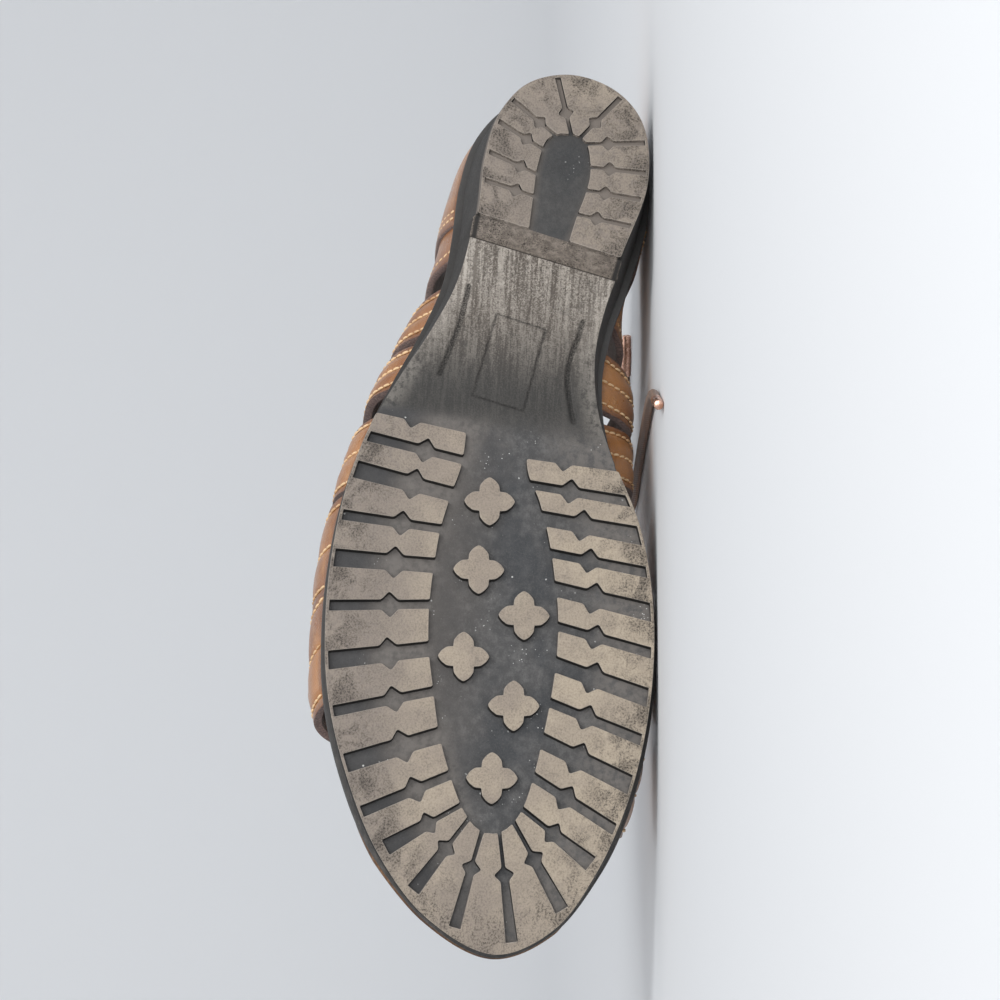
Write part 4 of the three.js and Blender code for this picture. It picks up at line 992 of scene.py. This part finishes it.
heelRecessRows = np.array([
    (19.2, 0.5, -4.0), (22.2, 5.0, -7.8), (31.0, 7.1, -9.5), (39.0, 7.6, -8.4),
    (47.0, 8.0, -6.2), (60.0, 8.6, -3.4)])
heelGrooveWidth = 2.0
heelDiamond = {"at": 0.6, "reach": 1.9, "spread": 1.5, "edgeTaper": 1.1, "innerTaper": 0.8}
shank = {
    "outerGroove": [(67.0, 24.2), (72.0, 24.9), (80.5, 26.2), (88.3, 28.2), (98.5, 31.0)],
    "innerGroove": [(75.0, -11.2), (81.5, -9.8), (88.0, -8.0), (94.6, -7.3), (101.5, -8.0), (110.5, -9.9)],
    "frame": [(75.3, 15.1), (79.1, 0.1), (108.4, 5.2), (104.8, 20.7), (75.3, 15.1)],
}
sunkLines = {"outerGroove": (0.85, 0.7), "innerGroove": (0.85, 0.7), "frame": (0.46, 0.45)}  # half, depth
bodyForm = {"spans": [(0, 4, 56), (4, 4 + breastSlope, 9), (4 + breastSlope, 8, 165), (8, 14, 76),
                      (14, toeRow, 44)],
            "below": 112, "above": 8, "weld": 0.02, "lineWide": 1.25, "lineSteep": 0.8}
planForm = {"near": 12, "every": 5, "least": 0.12, "turn": 18, "share": 0.4, "sharpest": 0.6}


def floorHeight(row):
    level = np.where(row <= breastRow + breastSlope, treadForm["heelFloor"], sole["floor"][0] * heelHeight)
    arch = np.maximum(level, alongRows(sole["floor"], np.maximum(row, breastRow + 1)) * heelHeight)
    slope = np.clip((row - breastRow) / breastSlope, 0, 1)
    return np.where(row <= breastRow, level, lerp(level, arch, slope))


def lineGap(points, line):  # least distance from points to a run of straight lines
    line = np.array(line, float)
    best = np.full(len(points), 1e6)
    for a, b in zip(line[:-1], line[1:]):
        run = b - a
        t = np.clip((points - a) @ run / (run @ run), 0, 1)
        best = np.minimum(best, sizeOf(points - a - t[:, None] * run))
    return best


def wallLevels(side, row):  # out from the tread's edge and height, bottom to bed
    flare = flareOut(side, row)
    arched = (row > breastRow) & (row < treadRow)
    lean = flare * np.where(arched, bottomLean["shank"], bottomLean["tread"])
    floor, bed, rim = floorHeight(row), bedHeight(row), rimOut(side, row)
    crease = bed - treadForm["rimHeight"]
    levels = [(lean - 0.7, floor), (lean - 0.2, floor + 0.14), (lean + 0.02, floor + 0.6)]
    levels += [(lerp(lean, flare, t), lerp(floor, crease, t)) for t in (0.3, 0.55, 0.8)]
    levels += [(flare - 0.03, crease - 0.5), (flare - 0.25, crease - 0.08), (flare - 0.85, crease + 0.3),
               (flare - 0.85, crease + 0.7), (rim - 0.4, crease + 0.92), (rim - 0.08, crease + 1.15),
               (rim, crease + 1.6), (rim, bed - 1.6), (rim - 0.04, bed - 0.9), (rim - 0.2, bed - 0.35),
               (rim - 0.5, bed - 0.08), (rim - 1.0, bed)]
    return levels


def soleLoft(rows, levelsOf, below, above):  # rings round the sole: inner wall, bottom, outer wall, top
    walls = []
    for side in (-1.0, 1.0):
        sideRow = np.full_like(rows, side)
        walls.append([np.column_stack([soleEdge(sideRow, rows, out), height])
                      for out, height in levelsOf(sideRow, rows)])
    inner, outer = walls
    bottom = [lerp(inner[0], outer[0], t) for t in np.linspace(0, 1, below + 1)[1:-1]]
    top = [lerp(outer[-1], inner[-1], t) for t in np.linspace(0, 1, above + 1)[1:-1]]
    rings = np.stack(inner[::-1] + bottom + outer + top, axis=1)
    stations, count = rings.shape[:2]
    order = np.tile(np.arange(count), stations)
    onBottom = (order >= len(inner) - 1) & (order <= len(inner) + len(bottom))
    return rings.reshape(-1, 3), ringFaces(stations, count), onBottom, order >= count - len(top)


def makeSoleBody():
    rows = np.concatenate([np.linspace(*span)[:-1] for span in bodyForm["spans"]] + [[toeRow]])
    flat, faces, onBottom, _ = soleLoft(rows, wallLevels, bodyForm["below"], bodyForm["above"])
    sunk = np.zeros(len(flat))
    for name, (half, depth) in sunkLines.items():
        line = np.array(shank[name], float)
        if name != "frame":
            line = curveThrough(np.column_stack([line, np.zeros(len(line))]), 1.0)[0][:, :2]
        part = np.clip(bodyForm["lineWide"] - lineGap(flat[:, :2], line) / half, 0, 1)
        part = part ** bodyForm["lineSteep"]
        sunk = np.maximum(sunk, np.where(onBottom, part, 0) * depth)
    flat[:, 2] += sunk
    piece = meshPiece("outsole_body", flat, faces)
    storeValues(piece, "sunk", sunk)
    weldPiece(piece, bodyForm["weld"])
    return piece


def edgeRun(run, aside):  # where along a groove one of its sides meets the rim of the plate
    nextRun, nextAside = np.roll(run, -1), np.roll(aside, -1)
    k = np.flatnonzero((aside * nextAside <= 0) & (np.abs(run) < planForm["near"]))
    runs = run[k] + (nextRun[k] - run[k]) * aside[k] / (aside[k] - nextAside[k])
    return runs[np.argmin(np.abs(runs))]


def grooveSides(start, end, width, bulge, rim=None):
    run = end - start
    length = sizeOf(run)
    ahead = run / length
    across = np.array((-ahead[1], ahead[0]))
    half, middle = width / 2, length * bulge["at"]
    wide = half * bulge["edgeTaper"]
    steps = {}
    for side in (1, -1):
        first = 0 if rim is None else edgeRun((rim - start) @ ahead, (rim - start) @ across - wide * side)
        steps[side] = [(first, wide), (middle - bulge["reach"], half),
                       (middle - notchTip, half + bulge["spread"]),
                       (middle + notchTip, half + bulge["spread"]),
                       (middle + bulge["reach"], half * bulge["innerTaper"])]
    return {"start": start, "ahead": ahead, "across": across, "steps": steps, "middle": middle,
            "length": length, "inner": half * bulge["innerTaper"]}


def soleRing(out, count):
    rows = np.linspace(0, toeRow, count)
    return np.vstack([soleEdge(np.ones(count), rows, out), soleEdge(-np.ones(count), rows, out)[::-1]])


def openGrooves(walk, grooves):  # the edge of a recess with the grooves let into it
    cuts = []
    for groove in grooves:
        run, aside = (walk - groove["start"]) @ groove["ahead"], (walk - groove["start"]) @ groove["across"]
        near = (run > groove["middle"]) & (run < groove["length"] + treadForm["overrun"])
        inside = np.flatnonzero((np.abs(aside) < groove["inner"]) & near)
        if len(inside) == 0:
            continue
        first, last = inside[0], inside[-1]
        sign = np.sign(aside[first])

        def spot(step, side):
            return groove["start"] + groove["ahead"] * step[0] + groove["across"] * step[1] * side
        ends = [spot((run[k], groove["inner"]), side) for k, side in ((first, sign), (last, -sign))]
        way = [ends[0]] + [spot(s, sign) for s in groove["steps"][sign][::-1]]
        way += [spot(s, -sign) for s in groove["steps"][-sign]] + [ends[1]]
        cuts.append((first, last, way))
    cuts.sort(key=lambda cut: cut[0])
    plan, at = [], 0
    for first, last, way in cuts:
        plan += list(walk[at:first:planForm["every"]]) + way
        at = last + 1
    return plan + list(walk[at::planForm["every"]])


def roundCorners(plan, radius):
    plan = np.array(plan)
    plan = plan[sizeOf(plan - np.roll(plan, 1, axis=0)) > planForm["least"]]
    rounded = []
    for before, here, after in zip(np.roll(plan, 1, axis=0), plan, np.roll(plan, -1, axis=0)):
        back, on = before - here, after - here
        lengths = sizeOf(back), sizeOf(on)
        turn = math.degrees(math.acos(np.clip(-(back @ on) / (lengths[0] * lengths[1]), -1, 1)))
        if turn < planForm["turn"]:
            rounded.append(here)
            continue
        a = here + back / lengths[0] * min(radius, planForm["share"] * lengths[0])
        b = here + on / lengths[1] * min(radius, planForm["share"] * lengths[1])
        rounded += [a, (a + b) / 4 + here / 2, b]
    return np.array(rounded)


def grownPlan(plan, out):  # each corner moved out of the plate, square to its two sides
    ahead = np.roll(plan, -1, axis=0) - plan
    normal = unit(np.column_stack([ahead[:, 1], -ahead[:, 0]]))
    both = normal + np.roll(normal, 1, axis=0)
    both /= np.maximum(sizeOf(both), planForm["sharpest"])[:, None]
    area = np.sum(plan[:, 0] * np.roll(plan[:, 1], -1) - np.roll(plan[:, 0], -1) * plan[:, 1])
    return plan + both * out * np.sign(area)


def makePlate(name, plan):
    plan = roundCorners(plan, treadForm["corner"])
    count, rings = len(plan), [np.column_stack([grownPlan(plan, out), np.full(len(plan), height)])
                               for out, height in treadForm["edge"]]
    faces = [range(count)] + [(a, d, c, b) for a, b, c, d in ringFaces(len(rings), count)]
    piece = meshPiece(name, np.vstack(rings), faces)
    cuts = [(bpy.ops.mesh.bisect, {"plane_co": (x, 0, 0), "plane_no": (1, 0, 0)})
            for x in np.arange(plan[:, 0].min() + 1, plan[:, 0].max(), treadForm["cut"])]
    even = {"quad_method": "BEAUTY", "ngon_method": "BEAUTY"}
    editPiece(piece, (bpy.ops.mesh.quads_convert_to_tris, even), *cuts,
              (bpy.ops.mesh.normals_make_consistent, {"inside": False}))
    faceDown = [p for p in piece.data.polygons if abs(p.center.z) < 0.001]
    if sum(p.normal.z * p.area for p in faceDown) > 0:
        piece.data.flip_normals()
    return piece


def recessEnd(x, fromY, toY):
    ys = np.linspace(fromY, toY, 30)[1:-1]
    return np.column_stack([np.full_like(ys, x), ys])


def rearNotch(start, end):  # half a diamond in the rear edge of the first lug
    run = unit(end - start)
    middle = lerp(start, end, diamond["at"] if start[1] < end[1] else 1 - diamond["at"])
    tip = middle + np.array((-run[1], run[0])) * -diamond["spread"]
    return [middle - run * diamond["reach"], tip - run * notchTip, tip + run * notchTip,
            middle + run * diamond["reach"]]


def forefootPlan():
    outer, inner = (soleEdge(np.full(130, side), np.linspace(rowAt(side, plateRear[side][0]), toeRow, 130))
                    for side in (1.0, -1.0))
    steps = np.linspace(0, len(recessRows) - 1, 1500)
    xs, outs, ins = (alongRows(recessRows[:, k], steps) for k in range(3))
    rear = {side: place[1] for side, place in plateRear.items()}
    walk = np.vstack([np.column_stack([xs, ins])[xs > rear[-1]], recessEnd(xs[-1], ins[-1], outs[-1]),
                      np.column_stack([xs, outs])[xs > rear[1]][::-1]])
    grooves, rim = [], soleRing(-treadForm["rim"], 600)
    for outEdge, outEnd, inEdge, inEnd, width in sideGrooves:
        for side, edgeX, endX, column in ((1, outEdge, outEnd, outs), (-1, inEdge, inEnd, ins)):
            start = soleEdge(np.array(float(side)), np.array(rowAt(side, edgeX)), -toeFan["edgeRim"])
            end = np.array((endX, np.interp(endX, xs, column)))
            grooves.append(grooveSides(start, end, width, diamond, rim))
    centre = np.array((toeFan["x"], toeFan["y"]))
    for k in range(toeFan["count"]):
        angle = math.radians(toeFan["first"] + toeFan["step"] * k)
        ahead = np.array((math.cos(angle), math.sin(angle)))
        side = outer if angle > 0 else inner
        reach = side[np.argmax(unit(side - centre) @ ahead)] - centre
        start = centre + ahead * (sizeOf(reach) - toeFan["rim"])
        width = toeFan["width"] + toeFan["widen"] * abs(math.degrees(angle))
        grooves.append(grooveSides(start, centre + ahead * toeFan["inner"], width, toeFan))
    edge = openGrooves(walk, grooves)
    rearEdges = rearNotch(inner[0], edge[0]), rearNotch(edge[-1], outer[0])
    return list(outer) + list(inner[::-1][1:]) + rearEdges[0] + edge + rearEdges[1]


def heelPlan():
    rows = np.linspace(0, breastRow, 90)
    outer, inner = soleEdge(np.ones(90), rows), soleEdge(-np.ones(90), rows)
    steps = np.linspace(0, len(heelRecessRows) - 1, 700)
    xs, outs, ins = (alongRows(heelRecessRows[:, k], steps) for k in range(3))

    def breast(y):
        return np.interp(y, (inner[-1][1], outer[-1][1]), (inner[-1][0], outer[-1][0]))
    walk = np.vstack([np.column_stack([xs, ins])[xs < breast(ins)][::-1], recessEnd(xs[0], ins[0], outs[0]),
                      np.column_stack([xs, outs])[xs < breast(outs)]])
    rim = soleRing(-treadForm["rim"], 600)
    grooves = [grooveSides(np.array(row[:2]), np.array(row[2:]), heelGrooveWidth, heelDiamond, rim)
               for row in heelGrooves]
    return list(outer[::-1]) + list(inner[1:]) + openGrooves(walk, grooves)


def studPlan(place):
    plan = []
    for k in range(4):
        there = petal["half"] + [(45, petal["notch"])]
        for angle, radius in there + [(90 - a, r) for a, r in petal["half"][:0:-1]]:
            turn = math.radians(90 * k + angle + petal["turn"])
            plan.append(np.array(place) + radius * np.array((math.cos(turn), math.sin(turn))))
    return plan


def makeOutsole():
    pieces = [makeSoleBody(), makePlate("lugs_forefoot", forefootPlan()),
              makePlate("lugs_heel", heelPlan())]
    pieces += [makePlate("stud_%d" % k, studPlan(place)) for k, place in enumerate(studPlaces)]
    piece = joinPieces(pieces, "outsole_rubber")
    level = pointArray(piece)
    place = springToe(level)
    placePoints(piece, toWorld(place))
    smoothPiece(piece, 34)
    storeValues(piece, "shoePlace", level, "FLOAT_VECTOR")
    rows, ring = np.linspace(0, toeRow, 400), soleRing(0.0, 400)
    mid = (ring[:400, 0] + ring[::-1][:400, 0]) / 2
    storeValues(piece, "belowBed", bedHeight(np.interp(place[:, 0], mid, rows)) - level[:, 2])
    storeValues(piece, "edgeIn", lineGap(level[:, :2], ring[::4]))
    piece.data.materials.append(makeRubber())
    finishPiece(piece, "sole_rubber", "outsole")
    print("outsole made:", len(piece.data.polygons), "faces")


def makeRubber():
    rubber = Look("wornRubber", {
        "face": (0.310, 0.260, 0.212), "faceWarm": (0.425, 0.357, 0.275), "faceDull": (0.238, 0.203, 0.174),
        "dirt": (0.050, 0.042, 0.036), "edgeWearAndHighlight": (0.50, 0.45, 0.39), "plateWall": (0.150, 0.133, 0.118),
        "plateShade": (0.020, 0.018, 0.016), "floor": (0.070, 0.069, 0.069),
        "floorPale": (0.150, 0.146, 0.142), "floorBrown": (0.118, 0.102, 0.089),
        "floorBlue": (0.036, 0.040, 0.045), "dust": (0.62, 0.62, 0.60), "groove": (0.185, 0.168, 0.153),
        "wall": (0.048, 0.046, 0.044), "rim": (0.078, 0.076, 0.074), "shank": (0.106, 0.090, 0.076),
        "shankPale": (0.455, 0.415, 0.365), "shankDark": (0.043, 0.042, 0.040),
        "breast": (0.400, 0.345, 0.292), "line": (0.016, 0.015, 0.014)}, "shoePlace")
    ramp, noise, add, both = rubber.ramp, rubber.noise, rubber.add, rubber.both
    most, stack, cells = rubber.most, rubber.stack, rubber.cells
    x, y, height = rubber.parts()
    edgeIn, sunk, belowBed = (rubber.stored(name) for name in ("edgeIn", "sunk", "belowBed"))
    blotch, pores, grime = noise(0.055, 4, 0.6), noise(1.7, 5, 0.72), noise(0.13, 5, 0.68, 0.6)
    cloud, mottle, grain = noise(0.42, 5, 0.62), noise(0.35, 6, 0.75), noise(1.9, 4, 0.7)
    # lug faces: taupe, warm inside the foot, dull at the outside, toe and heel, dirt worked into the pores
    heel = ramp(x, 56, 66, 1.0, 0.0)
    warm = add(ramp(blotch, 0.40, 0.66, 0.0, 0.7), ramp(y, -22, 8, 0.6, 0.0), True)
    dull = most(ramp(y, 22, 46), ramp(x, 226, 262, 0.0, 0.3))
    dull = most(dull, both(heel, ramp(x, 2, 16, 0.55, 1.0)))
    outer = ramp(edgeIn, 1.0, 17.0, 1.0, 0.14)
    dirt = both(both(ramp(pores, 0.47, 0.60), ramp(grime, 0.38, 0.62)), outer)
    smudge = both(ramp(grime, 0.40, 0.70, 0.0, 0.62), both(outer, ramp(x, 246, 262, 1.0, 0.55)))
    smudge = add(smudge, ramp(pores, 0.42, 0.66, 0.0, 0.24), True)
    # rounded top edges of the lugs lighter: wear together with a painted highlight where the edges catch
    # light
    worn = both(ramp(height, 0.005, 0.04), ramp(height, 0.14, 0.42, 0.55, 0.0))
    face = stack("face", (warm, "faceWarm"), (both(dull, ramp(cloud, 0.32, 0.62, 1.0, 0.62)), "faceDull"),
                 (ramp(cloud, 0.50, 0.72, 0.0, 0.30), "plateWall"), (dirt, "dirt"), (smudge, "dirt"),
                 (worn, "edgeWearAndHighlight"))
    # recess floor: grey, brown towards the outside, dusty in the grooves, with a few white specks
    grooved = both(ramp(edgeIn, 9.0, 24.0, 0.75, 0.0), ramp(y, -26, 34, 1.0, 0.08))
    inner = both(ramp(edgeIn, 12.0, 18.0), ramp(edgeIn, 28.0, 34.0, 1.0, 0.0))
    inner = both(both(inner, ramp(y, 6, 16)), ramp(cloud, 0.34, 0.60, 0.2, 0.65))
    outside = both(ramp(edgeIn, 8.0, 15.0, 0.55, 0.0), ramp(y, 10, 22))
    specks = both(ramp(cells(0.9), 0.08, 0.20, 1.0, 0.0), ramp(noise(0.10, 4), 0.58, 0.66))
    flakes = both(ramp(cells(0.33), 0.05, 0.13, 1.0, 0.0), ramp(grime, 0.56, 0.62))
    floor = stack("floor", (ramp(mottle, 0.40, 0.70, 0.0, 0.7), "floorPale"),
                  (ramp(blotch, 0.42, 0.60, 0.0, 0.6), "floorBlue"),
                  (ramp(y, 4, 26, 0.0, 0.45), "floorBrown"),
                  (ramp(grain, 0.52, 0.70, 0.0, 0.35), "floorPale"),
                  (both(grooved, ramp(cloud, 0.34, 0.60, 0.35, 1.0)), "groove"), (inner, "groove"),
                  (outside, "floorBlue"), (most(specks, flakes), "dust"), (both(heel, 0.5), "shankDark"),
                  (both(ramp(edgeIn, 14.0, 18.5, 0.7, 0.0), heel), "faceDull"))
    # shank: streaks along the foot, pale at the breast and the edges, dark at the forefoot
    streak = noise(0.7, 6, 0.72, 0.2, rubber.scaled((0.055, 0.95, 0.3)))
    streaked = add(both(streak, 0.62), both(grain, 0.55))
    wear = both(ramp(x, 54, 106, 1.0, 0.07), ramp(cloud, 0.30, 0.60, 1.0, 0.7))
    edgePale = both(ramp(edgeIn, 0.6, 7.0, 0.34, 0.0), ramp(mottle, 0.35, 0.6))
    pale = add(both(ramp(streaked, 0.51, 0.67), wear), edgePale, True)
    # painted shade darkens the shank's sunk grooves and frame line, beyond what their shallow depth shades
    sunkLineShade = both(ramp(sunk, 0.08, 0.5), ramp(grain, 0.35, 0.6, 0.95, 0.45))
    shankColour = stack("shank", (ramp(x, 72, 104, 0.0, 0.95), "shankDark"), (pale, "shankPale"),
                        (ramp(mottle, 0.50, 0.74, 0.0, 0.45), "shankDark"), (sunkLineShade, "line"))
    # breast: like the heel's face, with a dark line where it meets the shank
    breastColour = stack("breast", (ramp(cloud, 0.36, 0.62, 0.0, 0.8), "faceDull"),
                         (ramp(mottle, 0.44, 0.68, 0.0, 0.6), "shank"),
                         (both(ramp(grain, 0.46, 0.62), ramp(grime, 0.36, 0.6)), "dirt"),
                         (ramp(height, 11.5, 12.1, 0.0, 0.8), "line"))
    # where each shows
    down = both(ramp(rubber.facing(-layAxes[2]), 0.55, 0.85), ramp(belowBed, 5.2, 6.4))
    ahead = rubber.facing(layAxes[0])
    onFace = both(ramp(height, 0.30, 0.90, 1.0, 0.0), down)
    onShank = both(ramp(height, 2.3, 3.2), ramp(x, 108, 122, 1.0, 0.0))
    breast = both(both(ramp(ahead, 0.55, 0.8), ramp(x, 64, 68, 1.0, 0.0)), ramp(edgeIn, 0.3, 1.2))
    wallDust = both(ramp(noise(0.22, 5, 0.7), 0.40, 0.8, 0.0, 0.4), ramp(x, 200, 240, 0.25, 1.5))
    # plate walls that face the toe, away from the key light, get painted shade (plateShade); the others
    # keep the dusty plateWall colour
    plateWall = stack("plateWall", (ramp(ahead, -0.1, 0.35), "plateShade"))
    colour = stack("wall", (ramp(belowBed, 3.6, 4.6, 1.0, 0.0), "rim"), (wallDust, "groove"),
                   (ramp(height, 1.9, 2.5, 1.0, 0.0), plateWall),
                   (down, stack(floor, (onShank, shankColour))), (breast, breastColour), (onFace, face))
    return rubber.finish({"Base Color": colour, "Roughness": ramp(pores, 0.3, 0.7, 0.68, 0.92),
                          "Specular IOR Level": 0.35,
                          "Normal": rubber.bump(add(pores, both(mottle, 0.8)), 0.4, 0.0005)})


makeOutsole()


# insole: a thin bed with rounded edges and the hollows that heel and ball have pressed in
insoleForm = {"thick": 3.6, "rows": (0, 12, 13, 14, 15, 16), "out": (4, 4, 1.2, -0.4, -0.6, -0.6),
              "in": (4, 4, 4, 2, -0.6, -0.6), "hollows": [(28, -2, 20, 15, 0.7), (178, 10, 26, 30, 0.8)],
              "below": 8, "above": 36, "weld": 0.00002}


def insoleLevels(side, rows):
    column = insoleForm["out" if side[0] > 0 else "in"]
    out = rimOut(side, rows) - np.interp(rows, insoleForm["rows"], column)
    base = bedHeight(rows) + pieceGap
    top = base + insoleForm["thick"]
    return [(out - 0.35, base), (out, base + 0.35), (out, top - 0.9), (out - 0.18, top - 0.4),
            (out - 0.6, top - 0.08), (out - 1.2, top)]


def makeInsole():
    rows = np.concatenate([np.linspace(0, 14, 130)[:-1], np.linspace(14, toeRow, 40)])
    flat, faces, _, onTop = soleLoft(rows, insoleLevels, insoleForm["below"], insoleForm["above"])
    for x, y, reachX, reachY, depth in insoleForm["hollows"]:
        part = np.exp(-((flat[:, 0] - x) / reachX) ** 2 - ((flat[:, 1] - y) / reachY) ** 2)
        flat[:, 2] -= np.where(onTop, depth * part, 0)
    piece = meshPiece("insole_leather", toWorld(springToe(flat)), faces)
    weldPiece(piece, insoleForm["weld"])
    smoothPiece(piece, 40)
    storeValues(piece, "shoePlace", toShoe(pointArray(piece)), "FLOAT_VECTOR")
    bed = Look("insoleLeather", {"dark": (0.10, 0.050, 0.026), "light": (0.30, 0.165, 0.085),
                                 "foot": (0.055, 0.028, 0.017)}, "shoePlace")
    nap, blotch = bed.noise(0.7, 6, 0.7), bed.noise(0.05, 4)
    colour = bed.stack("dark", (bed.ramp(nap, 0.3, 0.75), "light"),
                       (bed.ramp(blotch, 0.42, 0.66, 0.0, 0.7), "foot"))
    piece.data.materials.append(bed.finish({
        "Base Color": colour, "Roughness": bed.ramp(blotch, 0.4, 0.7, 0.72, 0.45),
        "Normal": bed.bump(nap, 0.35, 0.0003)}))
    finishPiece(piece, "lining_leather", "insole")
    print("insole made")


makeInsole()


# floor that turns up into a backdrop, and soft lights
studio = {"floor": (0.78, 0.795, 0.81), "turn": 0.9, "bend": 0.6, "wide": 3.0, "front": -4.0, "high": 3.0,
          "aim": (0, -0.02, 0.05), "air": (0.93, 0.95, 1.0, 1), "airLight": 0.42}
studioLights = [("keyLight", (0.45, -1.6, 1.35), 1.0, 18), ("topLight", (0.3, 0.3, 1.9), 1.6, 5.5),
                ("frontFill", (-0.3, -2.0, 0.30), 1.2, 25)]  # name, place, size, power


def makeStudio():
    arc = [(studio["turn"] + studio["bend"] * math.sin(a), studio["bend"] * (1 - math.cos(a)))
           for a in np.linspace(0, math.pi / 2, 17)]
    profile = [(studio["front"], 0.0)] + arc + [(studio["turn"] + studio["bend"], studio["high"])]
    points = [(x, y, z) for x in (-studio["wide"], studio["wide"]) for y, z in profile]
    count = len(profile)
    faces = [(i, i + 1, count + i + 1, count + i) for i in range(count - 1)]
    floor = meshPiece("studio_floor", points, faces)
    smoothPiece(floor, 60)
    pale = Look("paleFloor", {"floor": studio["floor"]})
    floor.data.materials.append(pale.finish({"Base Color": "floor", "Roughness": 0.9}))
    for name, place, size, power in studioLights:
        data = bpy.data.lights.new(name, "AREA")
        data.size = size
        data.energy = power
        light = bpy.data.objects.new(name, data)
        light.location = place
        light.rotation_euler = (Vector(studio["aim"]) - Vector(place)).to_track_quat("-Z", "Y").to_euler()
        bpy.context.collection.objects.link(light)
        light.visible_camera = False
    world = bpy.data.worlds.new("softWorld")
    bpy.context.scene.world = world
    world.use_nodes = True
    background = world.node_tree.nodes["Background"].inputs
    background["Color"].default_value = studio["air"]
    background["Strength"].default_value = studio["airLight"]
    bpy.context.scene.view_settings.view_transform = "Standard"
    print("studio made")


makeStudio()

print("scene ready")
